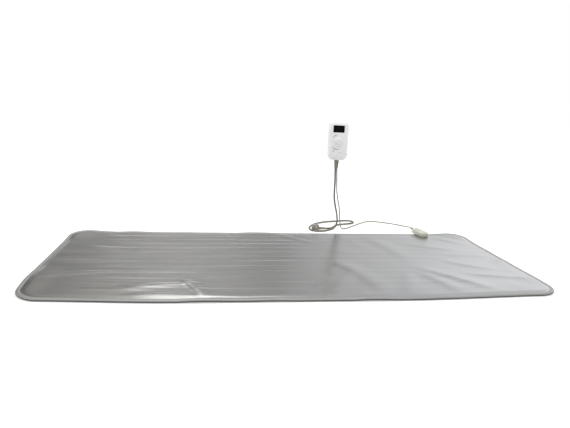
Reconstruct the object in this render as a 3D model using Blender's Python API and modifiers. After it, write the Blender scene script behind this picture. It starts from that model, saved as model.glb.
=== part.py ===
"""Infrared sauna blanket: a heated mat, a plug-in connector and a cabled hand controller.

Frame: metres, +Z up. The origin is the centre of the mat's underside, +X runs along
its length, +Y runs across it towards the edge that carries the connector.
"""
from math import cos, pi, radians, sin

import bmesh
import bpy
from mathutils import Matrix, Vector
from mathutils.geometry import interpolate_bezier

# ---- driving dimensions: the mat -------------------------------------------------
GAP = 0.0003                     # air between touching pieces
MAT_LENGTH = 1.800
MAT_WIDTH = 0.800
CORNER_RADIUS = 0.085
CORNER_STEPS = 7

SHEET_THICK = 0.0008             # PVC covers
BINDING_THICK = 0.0009
BINDING_WIDTH = 0.019
BINDING_HEIGHT = 0.0096
PAD_THICK = 0.0032               # cotton wadding
FILM_THICK = 0.0004
FELT_THICK = 0.0010
WIRE_RADIUS = 0.0010
HEM_RISE = BINDING_THICK + GAP   # a cover's rim steps in by this much inside the binding
HEM_STEP_OUTER = BINDING_WIDTH + 0.001
HEM_STEP_INNER = BINDING_WIDTH + 0.008
RIM_INSET = 0.0035               # rim of the covers, inside the binding's fold

PAD_Z = SHEET_THICK + GAP
FILM_Z = PAD_Z + PAD_THICK + GAP
FELT_Z = FILM_Z + FILM_THICK + GAP
WIRE_Z = FELT_Z + FELT_THICK + GAP + WIRE_RADIUS
TOP_Z = WIRE_Z + WIRE_RADIUS + GAP          # underside of the top cover

# ---- driving dimensions: the heating element ---------------------------------------
WIRE_RUNS = 12
WIRE_END_MARGIN = 0.075          # from the mat's end to a turn's outermost point
WIRE_SIDE_MARGIN = 0.085         # from the mat's side to the first run
HEATER_START_X = 0.640           # the live end, beside the connector
CUTOUT_SIZE = (0.016, 0.0075, 0.0036)
CUTOUT_X = (-0.42, 0.30)
SENSOR_SIZE = (0.012, 0.0045, 0.0030)
SENSOR_AT = (0.560, 0.348)
LEAD_WIRE_RADIUS = 0.0006

# ---- driving dimensions: the connector -----------------------------------------------
CONNECTOR_AT = (0.690, 0.390)    # middle of the joined housing, over the mat's edge
CONNECTOR_TURN = radians(8.0)
HOUSING_LENGTH = 0.105
HOUSING_WIDTH = 0.048
HOUSING_HEIGHT = 0.0200
HOUSING_Z = BINDING_HEIGHT + 2 * GAP
HOUSING_WALL = 0.0016
SPLIT_Y = 0.004                  # where the loose half meets the fixed half
PIN_PITCH = 0.010
PIN_RADIUS = 0.0012
NOSE_SIZE = (0.034, 0.0205, 0.0100)
BOOT_LENGTH = 0.034
WIRE_HOLE_Y = -0.036            # where the inner wires enter, in the connector's frame
PLATE_THICK = 0.0008

# ---- driving dimensions: the hand controller ---------------------------------------
HANDSET_AT = (0.2834, 0.500, 0.4334)
HANDSET_TURN = radians(-8.0)
HANDSET_HEIGHT = 0.1817
HANDSET_WIDTH = 0.0945
FRONT_DEPTH = 0.020              # parting plane to the front face
REAR_DEPTH = 0.018
SHELL_WALL = 0.0018
DISPLAY_SIZE = (0.052, 0.0325)
DISPLAY_Z = 0.0570
DIAL_Z = -0.0044
DIAL_RADIUS = 0.0165
DIAL_HEIGHT = 0.0075
BUTTON_RADIUS = 0.0080
BUTTON_TRAVEL = 0.0015
SWITCH_Z = -0.0585
SWITCH_SLOT = (0.0075, 0.0170)   # depth of the slot along the side, height
SWITCH_TRAVEL = 0.004
LAMP_X = -0.0205
LAMP_Z = -0.0465
BOARD_SIZE = (0.070, 0.0016, 0.100)
BOARD_Y = -0.0050
TERMINAL_Z = -0.020
RELIEF_LENGTH = 0.038
RELIEF_TOP = (0.0230, 0.0150)
RELIEF_TIP = (0.0176, 0.0102)
CORD_SPREAD = 0.0037             # each cord's distance from the controller's middle

# ---- driving dimensions: the cords and the mains plug --------------------------------
MAINS_RADIUS = 0.0042
LEAD_RADIUS = 0.0028
PLUG_AT = (0.200, 0.495)
PLUG_RADIUS = 0.0185
PLUG_HEIGHT = 0.0255
PLUG_PIN_PITCH = 0.019
PLUG_PIN_RADIUS = 0.0024
PLUG_PIN_LENGTH = 0.019
PLUG_CABLE_Z = 0.0085
PLUG_BOOT_LENGTH = 0.030

# Routes of the two cords, from the controller to their far ends.
MAINS_ROUTE = [
    (0.2800, 0.5005, 0.3042), (0.2812, 0.5010, 0.2800), (0.2835, 0.5020, 0.2400),
    (0.2838, 0.5030, 0.2000), (0.2860, 0.5050, 0.1600), (0.2930, 0.5085, 0.1250),
    (0.3030, 0.5140, 0.0900), (0.3100, 0.5200, 0.0620), (0.3125, 0.5230, 0.0400),
    (0.3065, 0.5190, 0.0160), (0.2900, 0.5060, 0.0050), (0.2700, 0.4870, 0.0045),
    (0.2450, 0.4660, 0.0045), (0.2200, 0.4570, 0.0045), (0.1950, 0.4590, 0.0045),
    (0.1775, 0.4720, 0.0045), (0.1720, 0.4960, 0.0045), (0.1775, 0.5330, 0.0045),
    (0.2010, 0.5760, 0.0045), (0.2400, 0.6200, 0.0045), (0.2950, 0.6510, 0.0045),
    (0.3500, 0.6660, 0.0045), (0.3950, 0.6780, 0.0045), (0.4230, 0.6720, 0.0045),
    (0.4320, 0.6480, 0.0045), (0.4190, 0.6240, 0.0045), (0.3900, 0.6080, 0.0045),
    (0.3560, 0.5970, 0.0045), (0.3300, 0.5820, 0.0045), (0.3100, 0.5580, 0.0045),
    (0.2940, 0.5310, 0.0049), (0.2780, 0.5080, 0.0064), (0.2600, 0.4956, 0.0084),
    (0.2494, 0.4950, 0.0085),
]
LEAD_ROUTE = [
    (0.2870, 0.4995, 0.3042), (0.2890, 0.4990, 0.2800), (0.2915, 0.4985, 0.2400),
    (0.2940, 0.4970, 0.2000), (0.3000, 0.4955, 0.1600), (0.3090, 0.4955, 0.1250),
    (0.3150, 0.4965, 0.0900), (0.3190, 0.4975, 0.0580), (0.3235, 0.4985, 0.0270),
    (0.3330, 0.5030, 0.0080), (0.3500, 0.5130, 0.0034), (0.3800, 0.5380, 0.0033),
    (0.4180, 0.5790, 0.0033), (0.4660, 0.6300, 0.0033), (0.5080, 0.6640, 0.0033),
    (0.5500, 0.6700, 0.0033), (0.5950, 0.6500, 0.0033), (0.6400, 0.6200, 0.0033),
    (0.6720, 0.5900, 0.0034), (0.6830, 0.5560, 0.0070), (0.6800, 0.5250, 0.0140),
    (0.6755, 0.4960, 0.0195), (0.6785, 0.4720, 0.0202),
]

for old in list(bpy.data.objects):
    bpy.data.objects.remove(old, do_unlink=True)

part_collection = bpy.data.collections.new("infrared_sauna_blanket")
cutter_collection = bpy.data.collections.new("cutters")
bpy.context.scene.collection.children.link(part_collection)
bpy.context.scene.collection.children.link(cutter_collection)


# ---- materials -----------------------------------------------------------------------
def make_material(name, colour, roughness, metallic=0.0):
    material = bpy.data.materials.new(name)
    material.use_nodes = True
    shader = material.node_tree.nodes["Principled BSDF"]
    shader.inputs["Base Color"].default_value = (*colour, 1.0)
    shader.inputs["Roughness"].default_value = roughness
    shader.inputs["Metallic"].default_value = metallic
    return material


SILVER_PVC = make_material("silver_pvc", (0.42, 0.42, 0.41), 0.34, 0.55)
BINDING_TAPE = make_material("binding_tape", (0.46, 0.46, 0.45), 0.45, 0.30)
WADDING = make_material("wadding", (0.78, 0.76, 0.70), 0.95)
FOIL = make_material("foil", (0.80, 0.80, 0.80), 0.20, 1.0)
FELT = make_material("felt", (0.70, 0.66, 0.58), 0.95)
CARBON_WIRE = make_material("carbon_wire", (0.09, 0.09, 0.09), 0.60)
RED_WIRE = make_material("red_wire", (0.45, 0.05, 0.04), 0.50)
BLUE_WIRE = make_material("blue_wire", (0.05, 0.10, 0.40), 0.50)
CREAM_PLASTIC = make_material("cream_plastic", (0.62, 0.62, 0.52), 0.40)
WHITE_PLASTIC = make_material("white_plastic", (0.86, 0.86, 0.86), 0.28)
GREY_PLASTIC = make_material("grey_plastic", (0.38, 0.38, 0.37), 0.45)
DARK_PLASTIC = make_material("dark_plastic", (0.05, 0.05, 0.05), 0.40)
CORD_PLASTIC = make_material("cord_plastic", (0.31, 0.29, 0.23), 0.45)
BLACK_WINDOW = make_material("black_window", (0.01, 0.01, 0.012), 0.08)
RED_LENS = make_material("red_lens", (0.70, 0.08, 0.10), 0.20)
BOARD_GREEN = make_material("board_green", (0.03, 0.20, 0.08), 0.45)
NICKEL = make_material("nickel", (0.70, 0.69, 0.66), 0.25, 1.0)


# ---- building helpers ------------------------------------------------------------------
def add_frame(name, location, turn=0.0):
    """An empty that a group of pieces is parented to."""
    frame = bpy.data.objects.new(name, None)
    frame.location = location
    frame.rotation_euler = (0.0, 0.0, turn)
    part_collection.objects.link(frame)
    return frame


def add_object(name, mesh, material, parent=None, location=(0, 0, 0), collection=None):
    piece = bpy.data.objects.new(name, mesh)
    piece.location = location
    piece.parent = parent
    if material:
        mesh.materials.append(material)
    (collection or part_collection).objects.link(piece)
    return piece


def mesh_from(builder, smooth_angle=35.0):
    """Run builder on an empty bmesh and return the finished mesh."""
    bm = bmesh.new()
    builder(bm)
    bmesh.ops.recalc_face_normals(bm, faces=bm.faces[:])
    mesh = bpy.data.meshes.new("mesh")
    bm.to_mesh(mesh)
    bm.free()
    mesh.shade_smooth()
    mesh.set_sharp_from_angle(angle=radians(smooth_angle))
    return mesh


def box_mesh(size, centre=(0, 0, 0)):
    def build(bm):
        bmesh.ops.create_cube(bm, size=1.0)
        bmesh.ops.scale(bm, vec=size, verts=bm.verts[:])
        bmesh.ops.translate(bm, vec=centre, verts=bm.verts[:])
    return mesh_from(build)


def rod_mesh(radius, length, centre=(0, 0, 0), axis="Z", sides=16, tip_radius=None):
    turn = {"X": Matrix.Rotation(pi / 2, 3, "Y"), "Y": Matrix.Rotation(-pi / 2, 3, "X"),
            "Z": Matrix.Identity(3)}[axis]

    def build(bm):
        end = radius if tip_radius is None else tip_radius
        bmesh.ops.create_cone(bm, cap_ends=True, segments=sides, radius1=radius,
                              radius2=end, depth=length)
        bmesh.ops.rotate(bm, matrix=turn, verts=bm.verts[:], cent=(0, 0, 0))
        bmesh.ops.translate(bm, vec=centre, verts=bm.verts[:])
    return mesh_from(build)


def add_box(name, size, centre, material, parent=None, bevel=0.0):
    piece = add_object(name, box_mesh(size), material, parent, centre)
    if bevel:
        soften(piece, bevel)
    return piece


def add_rod(name, radius, length, centre, material, parent=None, axis="Z", sides=16,
            bevel=0.0, tip_radius=None):
    mesh = rod_mesh(radius, length, axis=axis, sides=sides, tip_radius=tip_radius)
    piece = add_object(name, mesh, material, parent, centre)
    if bevel:
        soften(piece, bevel)
    return piece


def soften(piece, width, segments=1):
    bevel = piece.modifiers.new("soft_edges", "BEVEL")
    bevel.width = width
    bevel.segments = segments
    bevel.limit_method = "ANGLE"
    bevel.angle_limit = radians(40)


def thicken(piece, thickness, offset=-1.0):
    wall = piece.modifiers.new("wall", "SOLIDIFY")
    wall.thickness = thickness
    wall.offset = offset
    wall.use_even_offset = True


def combine(piece, mesh, operation, parent, location):
    """Boolean with a closed mesh, which stays in the cutters' collection."""
    name = f"{operation.lower()}_{piece.name}_{len(piece.modifiers)}"
    tool = add_object(name, mesh, None, parent, location, cutter_collection)
    tool.hide_render = True
    tool.display_type = "WIRE"
    boolean = piece.modifiers.new(name, "BOOLEAN")
    boolean.operation = operation
    boolean.object = tool


def cut(piece, mesh, parent=None, location=(0, 0, 0)):
    combine(piece, mesh, "DIFFERENCE", parent, location)


def join(piece, mesh, parent=None, location=(0, 0, 0)):
    combine(piece, mesh, "UNION", parent, location)


def rounded_outline(width, height, radii, steps=6, barrel=0.0):
    """Anticlockwise rounded rectangle; radii run from the lower right corner."""
    half_w, half_h = width / 2, height / 2
    corners = [(half_w, -half_h, -90), (half_w, half_h, 0),
               (-half_w, half_h, 90), (-half_w, -half_h, 180)]
    points = []
    for (x, y, start), radius in zip(corners, radii):
        centre_x = x - radius * (1 if x > 0 else -1)
        centre_y = y - radius * (1 if y > 0 else -1)
        for step in range(steps + 1):
            angle = radians(start + 90 * step / steps)
            px = centre_x + radius * cos(angle)
            py = centre_y + radius * sin(angle)
            swell = 1.0 + barrel * (1.0 - (py / half_h) ** 2)
            points.append((px * swell, py))
    return points


def ring_surface(rings, cap_first=False, cap_last=False):
    """Open surface through closed rings of equal point counts."""
    def build(bm):
        rows = [[bm.verts.new(point) for point in ring] for ring in rings]
        for near, far in zip(rows, rows[1:]):
            count = len(near)
            for i in range(count):
                j = (i + 1) % count
                bm.faces.new((near[i], near[j], far[j], far[i]))
        if cap_first:
            bm.faces.new(list(reversed(rows[0])))
        if cap_last:
            bm.faces.new(rows[-1])
    return build


def mat_ring(inset, z):
    """The mat's outline, moved in by inset, at height z."""
    radius = CORNER_RADIUS - inset
    outline = rounded_outline(MAT_LENGTH - 2 * inset, MAT_WIDTH - 2 * inset,
                              [radius] * 4, CORNER_STEPS)
    return [(x, y, z) for x, y in outline]


def smooth_route(points, spacing):
    """Even points along a smooth curve through the route's own points."""
    knots = [Vector(point) for point in points]
    dense = [knots[0]]
    for i in range(len(knots) - 1):
        before = knots[max(i - 1, 0)]
        start, end = knots[i], knots[i + 1]
        after = knots[min(i + 2, len(knots) - 1)]
        length = (end - start).length
        tangent_start = (end - before).normalized() * length / 3
        tangent_end = (after - start).normalized() * length / 3
        dense += interpolate_bezier(start, start + tangent_start,
                                    end - tangent_end, end, 16)[1:]
    total = sum((b - a).length for a, b in zip(dense, dense[1:]))
    count = max(2, round(total / spacing))
    step = total / count
    result, walked, target = [dense[0]], 0.0, step
    for a, b in zip(dense, dense[1:]):
        length = (b - a).length
        while target <= walked + length + 1e-9 and len(result) < count:
            result.append(a.lerp(b, (target - walked) / length))
            target += step
        walked += length
    result.append(dense[-1])
    return result


def add_tube(name, points, radius, material, resolution=2):
    """A cord or wire: a poly curve with a round section and filled ends."""
    curve = bpy.data.curves.new(name, "CURVE")
    curve.dimensions = "3D"
    curve.bevel_depth = radius
    curve.bevel_resolution = resolution
    curve.use_fill_caps = True
    spline = curve.splines.new("POLY")
    spline.points.add(len(points) - 1)
    for point, place in zip(spline.points, points):
        point.co = (*place, 1.0)
    curve.materials.append(material)
    tube = bpy.data.objects.new(name, curve)
    part_collection.objects.link(tube)
    return tube


def turned_mesh(profile, steps=32):
    """Solid of revolution about Z from (radius, height) points, base to tip."""
    def build(bm):
        rings = []
        for radius, height in profile:
            ring = [(radius * cos(2 * pi * k / steps), radius * sin(2 * pi * k / steps), height)
                    for k in range(steps)]
            rings.append(ring)
        ring_surface(rings, cap_first=True, cap_last=True)(bm)
    return mesh_from(build)


# ---- the mat ---------------------------------------------------------------------------
def build_bottom_cover():
    rings = [mat_ring(RIM_INSET, HEM_RISE), mat_ring(HEM_STEP_OUTER, HEM_RISE),
             mat_ring(HEM_STEP_INNER, 0.0)]
    cover = add_object("bottom_cover", mesh_from(ring_surface(rings, cap_last=True)), SILVER_PVC)
    thicken(cover, SHEET_THICK, offset=1.0)
    return cover


def build_insulation_pad():
    rings = [mat_ring(RIM_INSET + 0.001, PAD_Z + HEM_RISE),
             mat_ring(HEM_STEP_OUTER + 0.002, PAD_Z + HEM_RISE),
             mat_ring(HEM_STEP_INNER + 0.002, PAD_Z)]
    pad = add_object("insulation_pad", mesh_from(ring_surface(rings, cap_last=True)), WADDING)
    thicken(pad, PAD_THICK, offset=1.0)
    return pad


def build_flat_layer(name, z, thickness, inset, material):
    rings = [mat_ring(inset, z), mat_ring(inset, z + thickness)]
    mesh = mesh_from(ring_surface(rings, cap_first=True, cap_last=True))
    return add_object(name, mesh, material)


def build_top_cover():
    rim_z = BINDING_HEIGHT - BINDING_THICK - GAP - SHEET_THICK
    rings = [mat_ring(RIM_INSET, rim_z), mat_ring(HEM_STEP_OUTER, rim_z),
             mat_ring(HEM_STEP_INNER, TOP_Z)]
    cover = add_object("top_cover", mesh_from(ring_surface(rings, cap_last=True)), SILVER_PVC)
    thicken(cover, SHEET_THICK, offset=1.0)
    return cover


def build_edge_binding():
    """Tape folded round the mat's edge: top leg, rounded nose, bottom leg."""
    nose = BINDING_HEIGHT / 2
    rings = [mat_ring(BINDING_WIDTH, BINDING_HEIGHT)]
    for step in range(7):
        angle = radians(90 - 30 * step)
        inset = nose * 0.75 * (1 - cos(angle))
        rings.append(mat_ring(inset, nose + nose * sin(angle)))
    rings.append(mat_ring(BINDING_WIDTH, 0.0))
    binding = add_object("edge_binding", mesh_from(ring_surface(rings)), BINDING_TAPE)
    thicken(binding, BINDING_THICK)
    return binding


def wire_run_y(index):
    span = MAT_WIDTH - 2 * WIRE_SIDE_MARGIN
    return span / 2 - span * index / (WIRE_RUNS - 1)


def build_heating_wire():
    """One wire, laid back and forth along the mat, with both ends near the connector."""
    pitch = wire_run_y(0) - wire_run_y(1)
    turn_x = MAT_LENGTH / 2 - WIRE_END_MARGIN - pitch / 2
    points = []
    for run in range(WIRE_RUNS):
        side = -1 if run % 2 == 0 else 1
        start_x = HEATER_START_X if run == 0 else -side * turn_x
        points.append((start_x, wire_run_y(run), WIRE_Z))
        points.append((side * turn_x, wire_run_y(run), WIRE_Z))
        if run < WIRE_RUNS - 1:
            middle = wire_run_y(run) - pitch / 2
            for step in range(1, 6):
                angle = radians(90 - 30 * step)
                points.append((side * (turn_x + pitch / 2 * cos(angle)),
                               middle + pitch / 2 * sin(angle), WIRE_Z))
    return add_tube("heating_wire", points, WIRE_RADIUS, CARBON_WIRE)


def build_thermal_parts(layers):
    """Two overheat cut-outs and a sensor in pockets cut through the inner layers."""
    between_runs = (wire_run_y(5) + wire_run_y(6)) / 2
    floor_z = PAD_Z + 0.0012
    pocket_height = FELT_Z + FELT_THICK + 0.001 - floor_z
    sites = [("thermal_cutout_1", CUTOUT_X[0], between_runs, CUTOUT_SIZE),
             ("thermal_cutout_2", CUTOUT_X[1], between_runs, CUTOUT_SIZE),
             ("temperature_sensor", *SENSOR_AT, SENSOR_SIZE)]
    for name, x, y, size in sites:
        add_box(name, size, (x, y, floor_z + GAP + size[2] / 2), DARK_PLASTIC, bevel=0.0006)
        for layer in layers:
            pocket = box_mesh((size[0] + 0.002, size[1] + 0.002, pocket_height))
            cut(layer, pocket, location=(x, y, floor_z + pocket_height / 2))


mat_bottom = build_bottom_cover()
mat_pad = build_insulation_pad()
mat_film = build_flat_layer("reflective_film", FILM_Z, FILM_THICK, HEM_STEP_INNER + 0.006, FOIL)
mat_felt = build_flat_layer("element_felt", FELT_Z, FELT_THICK, HEM_STEP_INNER + 0.008, FELT)
mat_top = build_top_cover()
build_edge_binding()
build_heating_wire()
build_thermal_parts((mat_pad, mat_film, mat_felt))


# ---- the connector ---------------------------------------------------------------------
connector = add_frame("connector_frame", (*CONNECTOR_AT, HOUSING_Z), CONNECTOR_TURN)


def housing_ring(inset, z):
    """Long oval outline of the joined housing."""
    radius = HOUSING_WIDTH / 2 - inset
    outline = rounded_outline(2 * radius, HOUSING_LENGTH - 2 * inset, [radius * 0.94] * 4, 5)
    return [(x, y, z) for x, y in outline]


def housing_half(name, lower, y_side, material):
    """One tray of the oval housing, cut off at the split between its two halves."""
    middle = HOUSING_HEIGHT * 0.42
    if lower:
        rings = [housing_ring(0.0, middle - GAP / 2), housing_ring(0.0, 0.003),
                 housing_ring(0.0015, 0.0)]
    else:
        rings = [housing_ring(0.0, middle + GAP / 2), housing_ring(0.0, middle + 0.002),
                 housing_ring(0.0008, HOUSING_HEIGHT - 0.0055),
                 housing_ring(0.0030, HOUSING_HEIGHT - 0.0018),
                 housing_ring(0.0080, HOUSING_HEIGHT)]
    mesh = mesh_from(ring_surface(rings, cap_last=True))
    half = add_object(name, mesh, material, connector)
    thicken(half, HOUSING_WALL)
    length = HOUSING_LENGTH
    cut_y = SPLIT_Y + y_side * (length / 2 - GAP / 2)
    cut(half, box_mesh((2 * HOUSING_WIDTH, length, 4 * HOUSING_HEIGHT)), connector, (0, cut_y, 0))
    return half


def build_connector():
    nose_z = HOUSING_HEIGHT / 2
    socket_base = housing_half("socket_base", True, 1, CREAM_PLASTIC)
    socket_cover = housing_half("socket_cover", False, 1, CREAM_PLASTIC)
    plug_base = housing_half("connector_lower_shell", True, -1, CREAM_PLASTIC)
    plug_cover = housing_half("connector_upper_shell", False, -1, CREAM_PLASTIC)

    # The loose half carries an insulating nose that enters the fixed half.
    nose_y = SPLIT_Y + 0.008 - NOSE_SIZE[1] / 2
    nose = add_box("connector_nose", (NOSE_SIZE[0], NOSE_SIZE[1] + 0.016, NOSE_SIZE[2]),
                   (0, nose_y, nose_z), GREY_PLASTIC, connector, bevel=0.0012)
    pin_length = 0.024
    block_y = nose_y - (NOSE_SIZE[1] + 0.016) / 2 - 0.0032
    block = add_box("socket_contact_block", (NOSE_SIZE[0], 0.005, NOSE_SIZE[2]),
                    (0, block_y, nose_z), GREY_PLASTIC, connector, bevel=0.0006)
    for index, name in enumerate(("live", "sensor", "neutral")):
        x = (index - 1) * PIN_PITCH
        pin_y = block_y - 0.0055 + pin_length / 2
        add_rod(f"socket_pin_{name}", PIN_RADIUS, pin_length, (x, pin_y, nose_z), NICKEL,
                connector, axis="Y", sides=12)
        cut(block, rod_mesh(PIN_RADIUS + 0.0002, 0.03, axis="Y", sides=12), connector,
            (x, block_y, nose_z))
        cut(nose, rod_mesh(PIN_RADIUS + 0.0006, 0.05, axis="Y", sides=12), connector,
            (x, nose_y - 0.012, nose_z))

    # Two rivets hold the fixed half to a plate under the top cover.
    plate_top = TOP_Z - HOUSING_Z - GAP
    plate = add_box("socket_backing_plate", (0.034, 0.020, PLATE_THICK),
                    (0, WIRE_HOLE_Y, plate_top - PLATE_THICK / 2), GREY_PLASTIC, connector)
    for side, name in ((-1, "socket_rivet_1"), (1, "socket_rivet_2")):
        site = (side * 0.012, WIRE_HOLE_Y)
        top = HOUSING_WALL + GAP + 0.0010
        bottom = plate_top - PLATE_THICK - GAP - 0.0008
        head, shank = 0.0032, 0.0015
        profile = [(head, bottom), (head, bottom + 0.0008), (shank, bottom + 0.0008),
                   (shank, top - 0.0010), (head, top - 0.0010), (head * 0.7, top)]
        add_object(name, turned_mesh(profile, 16), NICKEL, connector, (*site, 0.0))
        for target in (plate, socket_base):
            cut(target, rod_mesh(shank + 0.0004, 0.02, sides=16), connector, (*site, 0.0))
        cut(mat_top, rod_mesh(shank + 0.0004, 0.004, sides=16), connector,
            (*site, plate_top + 0.0008))

    # The inner wires pass up into the fixed half through one hole.
    for target in (mat_top, socket_base):
        cut(target, rod_mesh(0.0045, 0.006, sides=16), connector,
            (0, WIRE_HOLE_Y, plate_top + 0.002))
    cut(plate, rod_mesh(0.0045, 0.006, sides=16), connector, (0, WIRE_HOLE_Y, plate_top))

    # One screw closes the loose half, from below.
    screw_y = 0.030
    post_base = HOUSING_WALL + GAP
    post_top = HOUSING_HEIGHT - HOUSING_WALL + 0.0006
    join(plug_cover, rod_mesh(0.0034, post_top - post_base, sides=16), connector,
         (0, screw_y, (post_top + post_base) / 2))
    cut(plug_cover, rod_mesh(0.0013, 0.014, sides=12), connector,
        (0, screw_y, post_base + 0.0025))
    profile = [(0.0018, -0.0013), (0.0026, -0.0008), (0.0026, -GAP), (0.0011, -GAP),
               (0.0011, 0.0080)]
    add_object("connector_screw", turned_mesh(profile, 12), NICKEL, connector, (0, screw_y, 0))
    cut(plug_base, rod_mesh(0.0014, 0.008, sides=16), connector, (0, screw_y, 0.0))

    # A tapered boot leads the cord out of the loose half.
    boot_start = HOUSING_LENGTH / 2 - 0.004
    boot_z = HOUSING_HEIGHT / 2
    sections = [(0.0, 0.0052), (0.004, 0.0052), (0.006, 0.0062), (0.018, 0.0054),
                (BOOT_LENGTH, 0.0042)]
    profile = [(radius, at) for at, radius in sections]
    boot_mesh = turned_mesh(profile, 16)
    boot_mesh.transform(Matrix.Rotation(-pi / 2, 4, "X"))
    add_object("connector_boot", boot_mesh, GREY_PLASTIC, connector,
               (0, boot_start, boot_z))
    for shell in (plug_base, plug_cover):
        cut(shell, rod_mesh(0.0056, 0.02, axis="Y", sides=16), connector,
            (0, boot_start + 0.004, boot_z))


build_connector()


def build_inner_wires():
    """Wires from the connector's contacts down through the hole and along the mat."""
    turn = Matrix.Rotation(CONNECTOR_TURN, 3, "Z")
    low_z = FELT_Z + FELT_THICK + LEAD_WIRE_RADIUS + GAP / 3
    first_y, last_y = wire_run_y(0), wire_run_y(WIRE_RUNS - 1)
    pitch = first_y - wire_run_y(1)
    end_x = MAT_LENGTH / 2 - WIRE_END_MARGIN
    join = WIRE_RADIUS + LEAD_WIRE_RADIUS + GAP

    def riser(offset, tail_x):
        """From a contact's tail, back over the hole and down into the mat."""
        places = [(tail_x, -0.0262, HOUSING_HEIGHT / 2), (tail_x * 0.6, -0.0300, 0.0090),
                  (offset, WIRE_HOLE_Y + 0.0010, 0.0040), (offset, WIRE_HOLE_Y, -0.0005)]
        points = []
        for place in places:
            point = turn @ Vector(place)
            points.append((CONNECTOR_AT[0] + point.x, CONNECTOR_AT[1] + point.y,
                           HOUSING_Z + point.z))
        bottom = points[-1]
        points.append((bottom[0], bottom[1] - 0.0006, low_z + 0.0008))
        return points, bottom

    points, bottom = riser(-0.0028, -PIN_PITCH)
    points += [(bottom[0] - 0.0012, bottom[1] - 0.0016, low_z),
               (HEATER_START_X, first_y + join, low_z)]
    add_tube("element_lead_live", points, LEAD_WIRE_RADIUS, RED_WIRE)

    points, bottom = riser(0.0028, PIN_PITCH)
    points += [(bottom[0] + 0.0014, bottom[1] - 0.0012, low_z),
               (end_x - 0.020, first_y + 0.010, low_z), (end_x + 0.008, first_y - 0.006, low_z),
               (end_x + 0.014, first_y - 0.030, low_z), (end_x + 0.014, last_y + 0.020, low_z),
               (end_x + 0.002, last_y - 0.004, low_z),
               (end_x - pitch / 2, last_y - join, low_z)]
    add_tube("element_lead_neutral", points, LEAD_WIRE_RADIUS, BLUE_WIRE)


build_inner_wires()


# ---- the hand controller ---------------------------------------------------------------
handset = add_frame("handset_frame", HANDSET_AT, HANDSET_TURN)


def handset_ring(inset, depth):
    """Controller outline at a depth in front of (+) or behind (-) the parting plane."""
    outline = rounded_outline(HANDSET_WIDTH - 2 * inset, HANDSET_HEIGHT - 2 * inset,
                              [0.024, 0.017, 0.017, 0.024], 5, barrel=0.035)
    scale = (HANDSET_WIDTH - 2 * inset) / (1.035 * (HANDSET_WIDTH - 2 * inset))
    return [(x * scale, -depth, z) for x, z in outline]


def build_handset_shells():
    front_rings = [handset_ring(0.0, 0.0), handset_ring(0.0, 0.0020), handset_ring(0.0020, 0.011),
                   handset_ring(0.0050, 0.0155), handset_ring(0.0085, 0.0185),
                   handset_ring(0.0130, FRONT_DEPTH)]
    rear_rings = [handset_ring(0.0, -GAP), handset_ring(0.0, -0.0020),
                  handset_ring(0.0012, -0.010),
                  handset_ring(0.0040, -0.0155), handset_ring(0.0080, -REAR_DEPTH)]
    front = add_object("front_shell", mesh_from(ring_surface(front_rings, cap_last=True)),
                       WHITE_PLASTIC, handset)
    rear = add_object("rear_shell", mesh_from(ring_surface(rear_rings, cap_last=True)),
                      WHITE_PLASTIC, handset)
    thicken(front, SHELL_WALL)
    thicken(rear, SHELL_WALL)
    return front, rear


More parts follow.
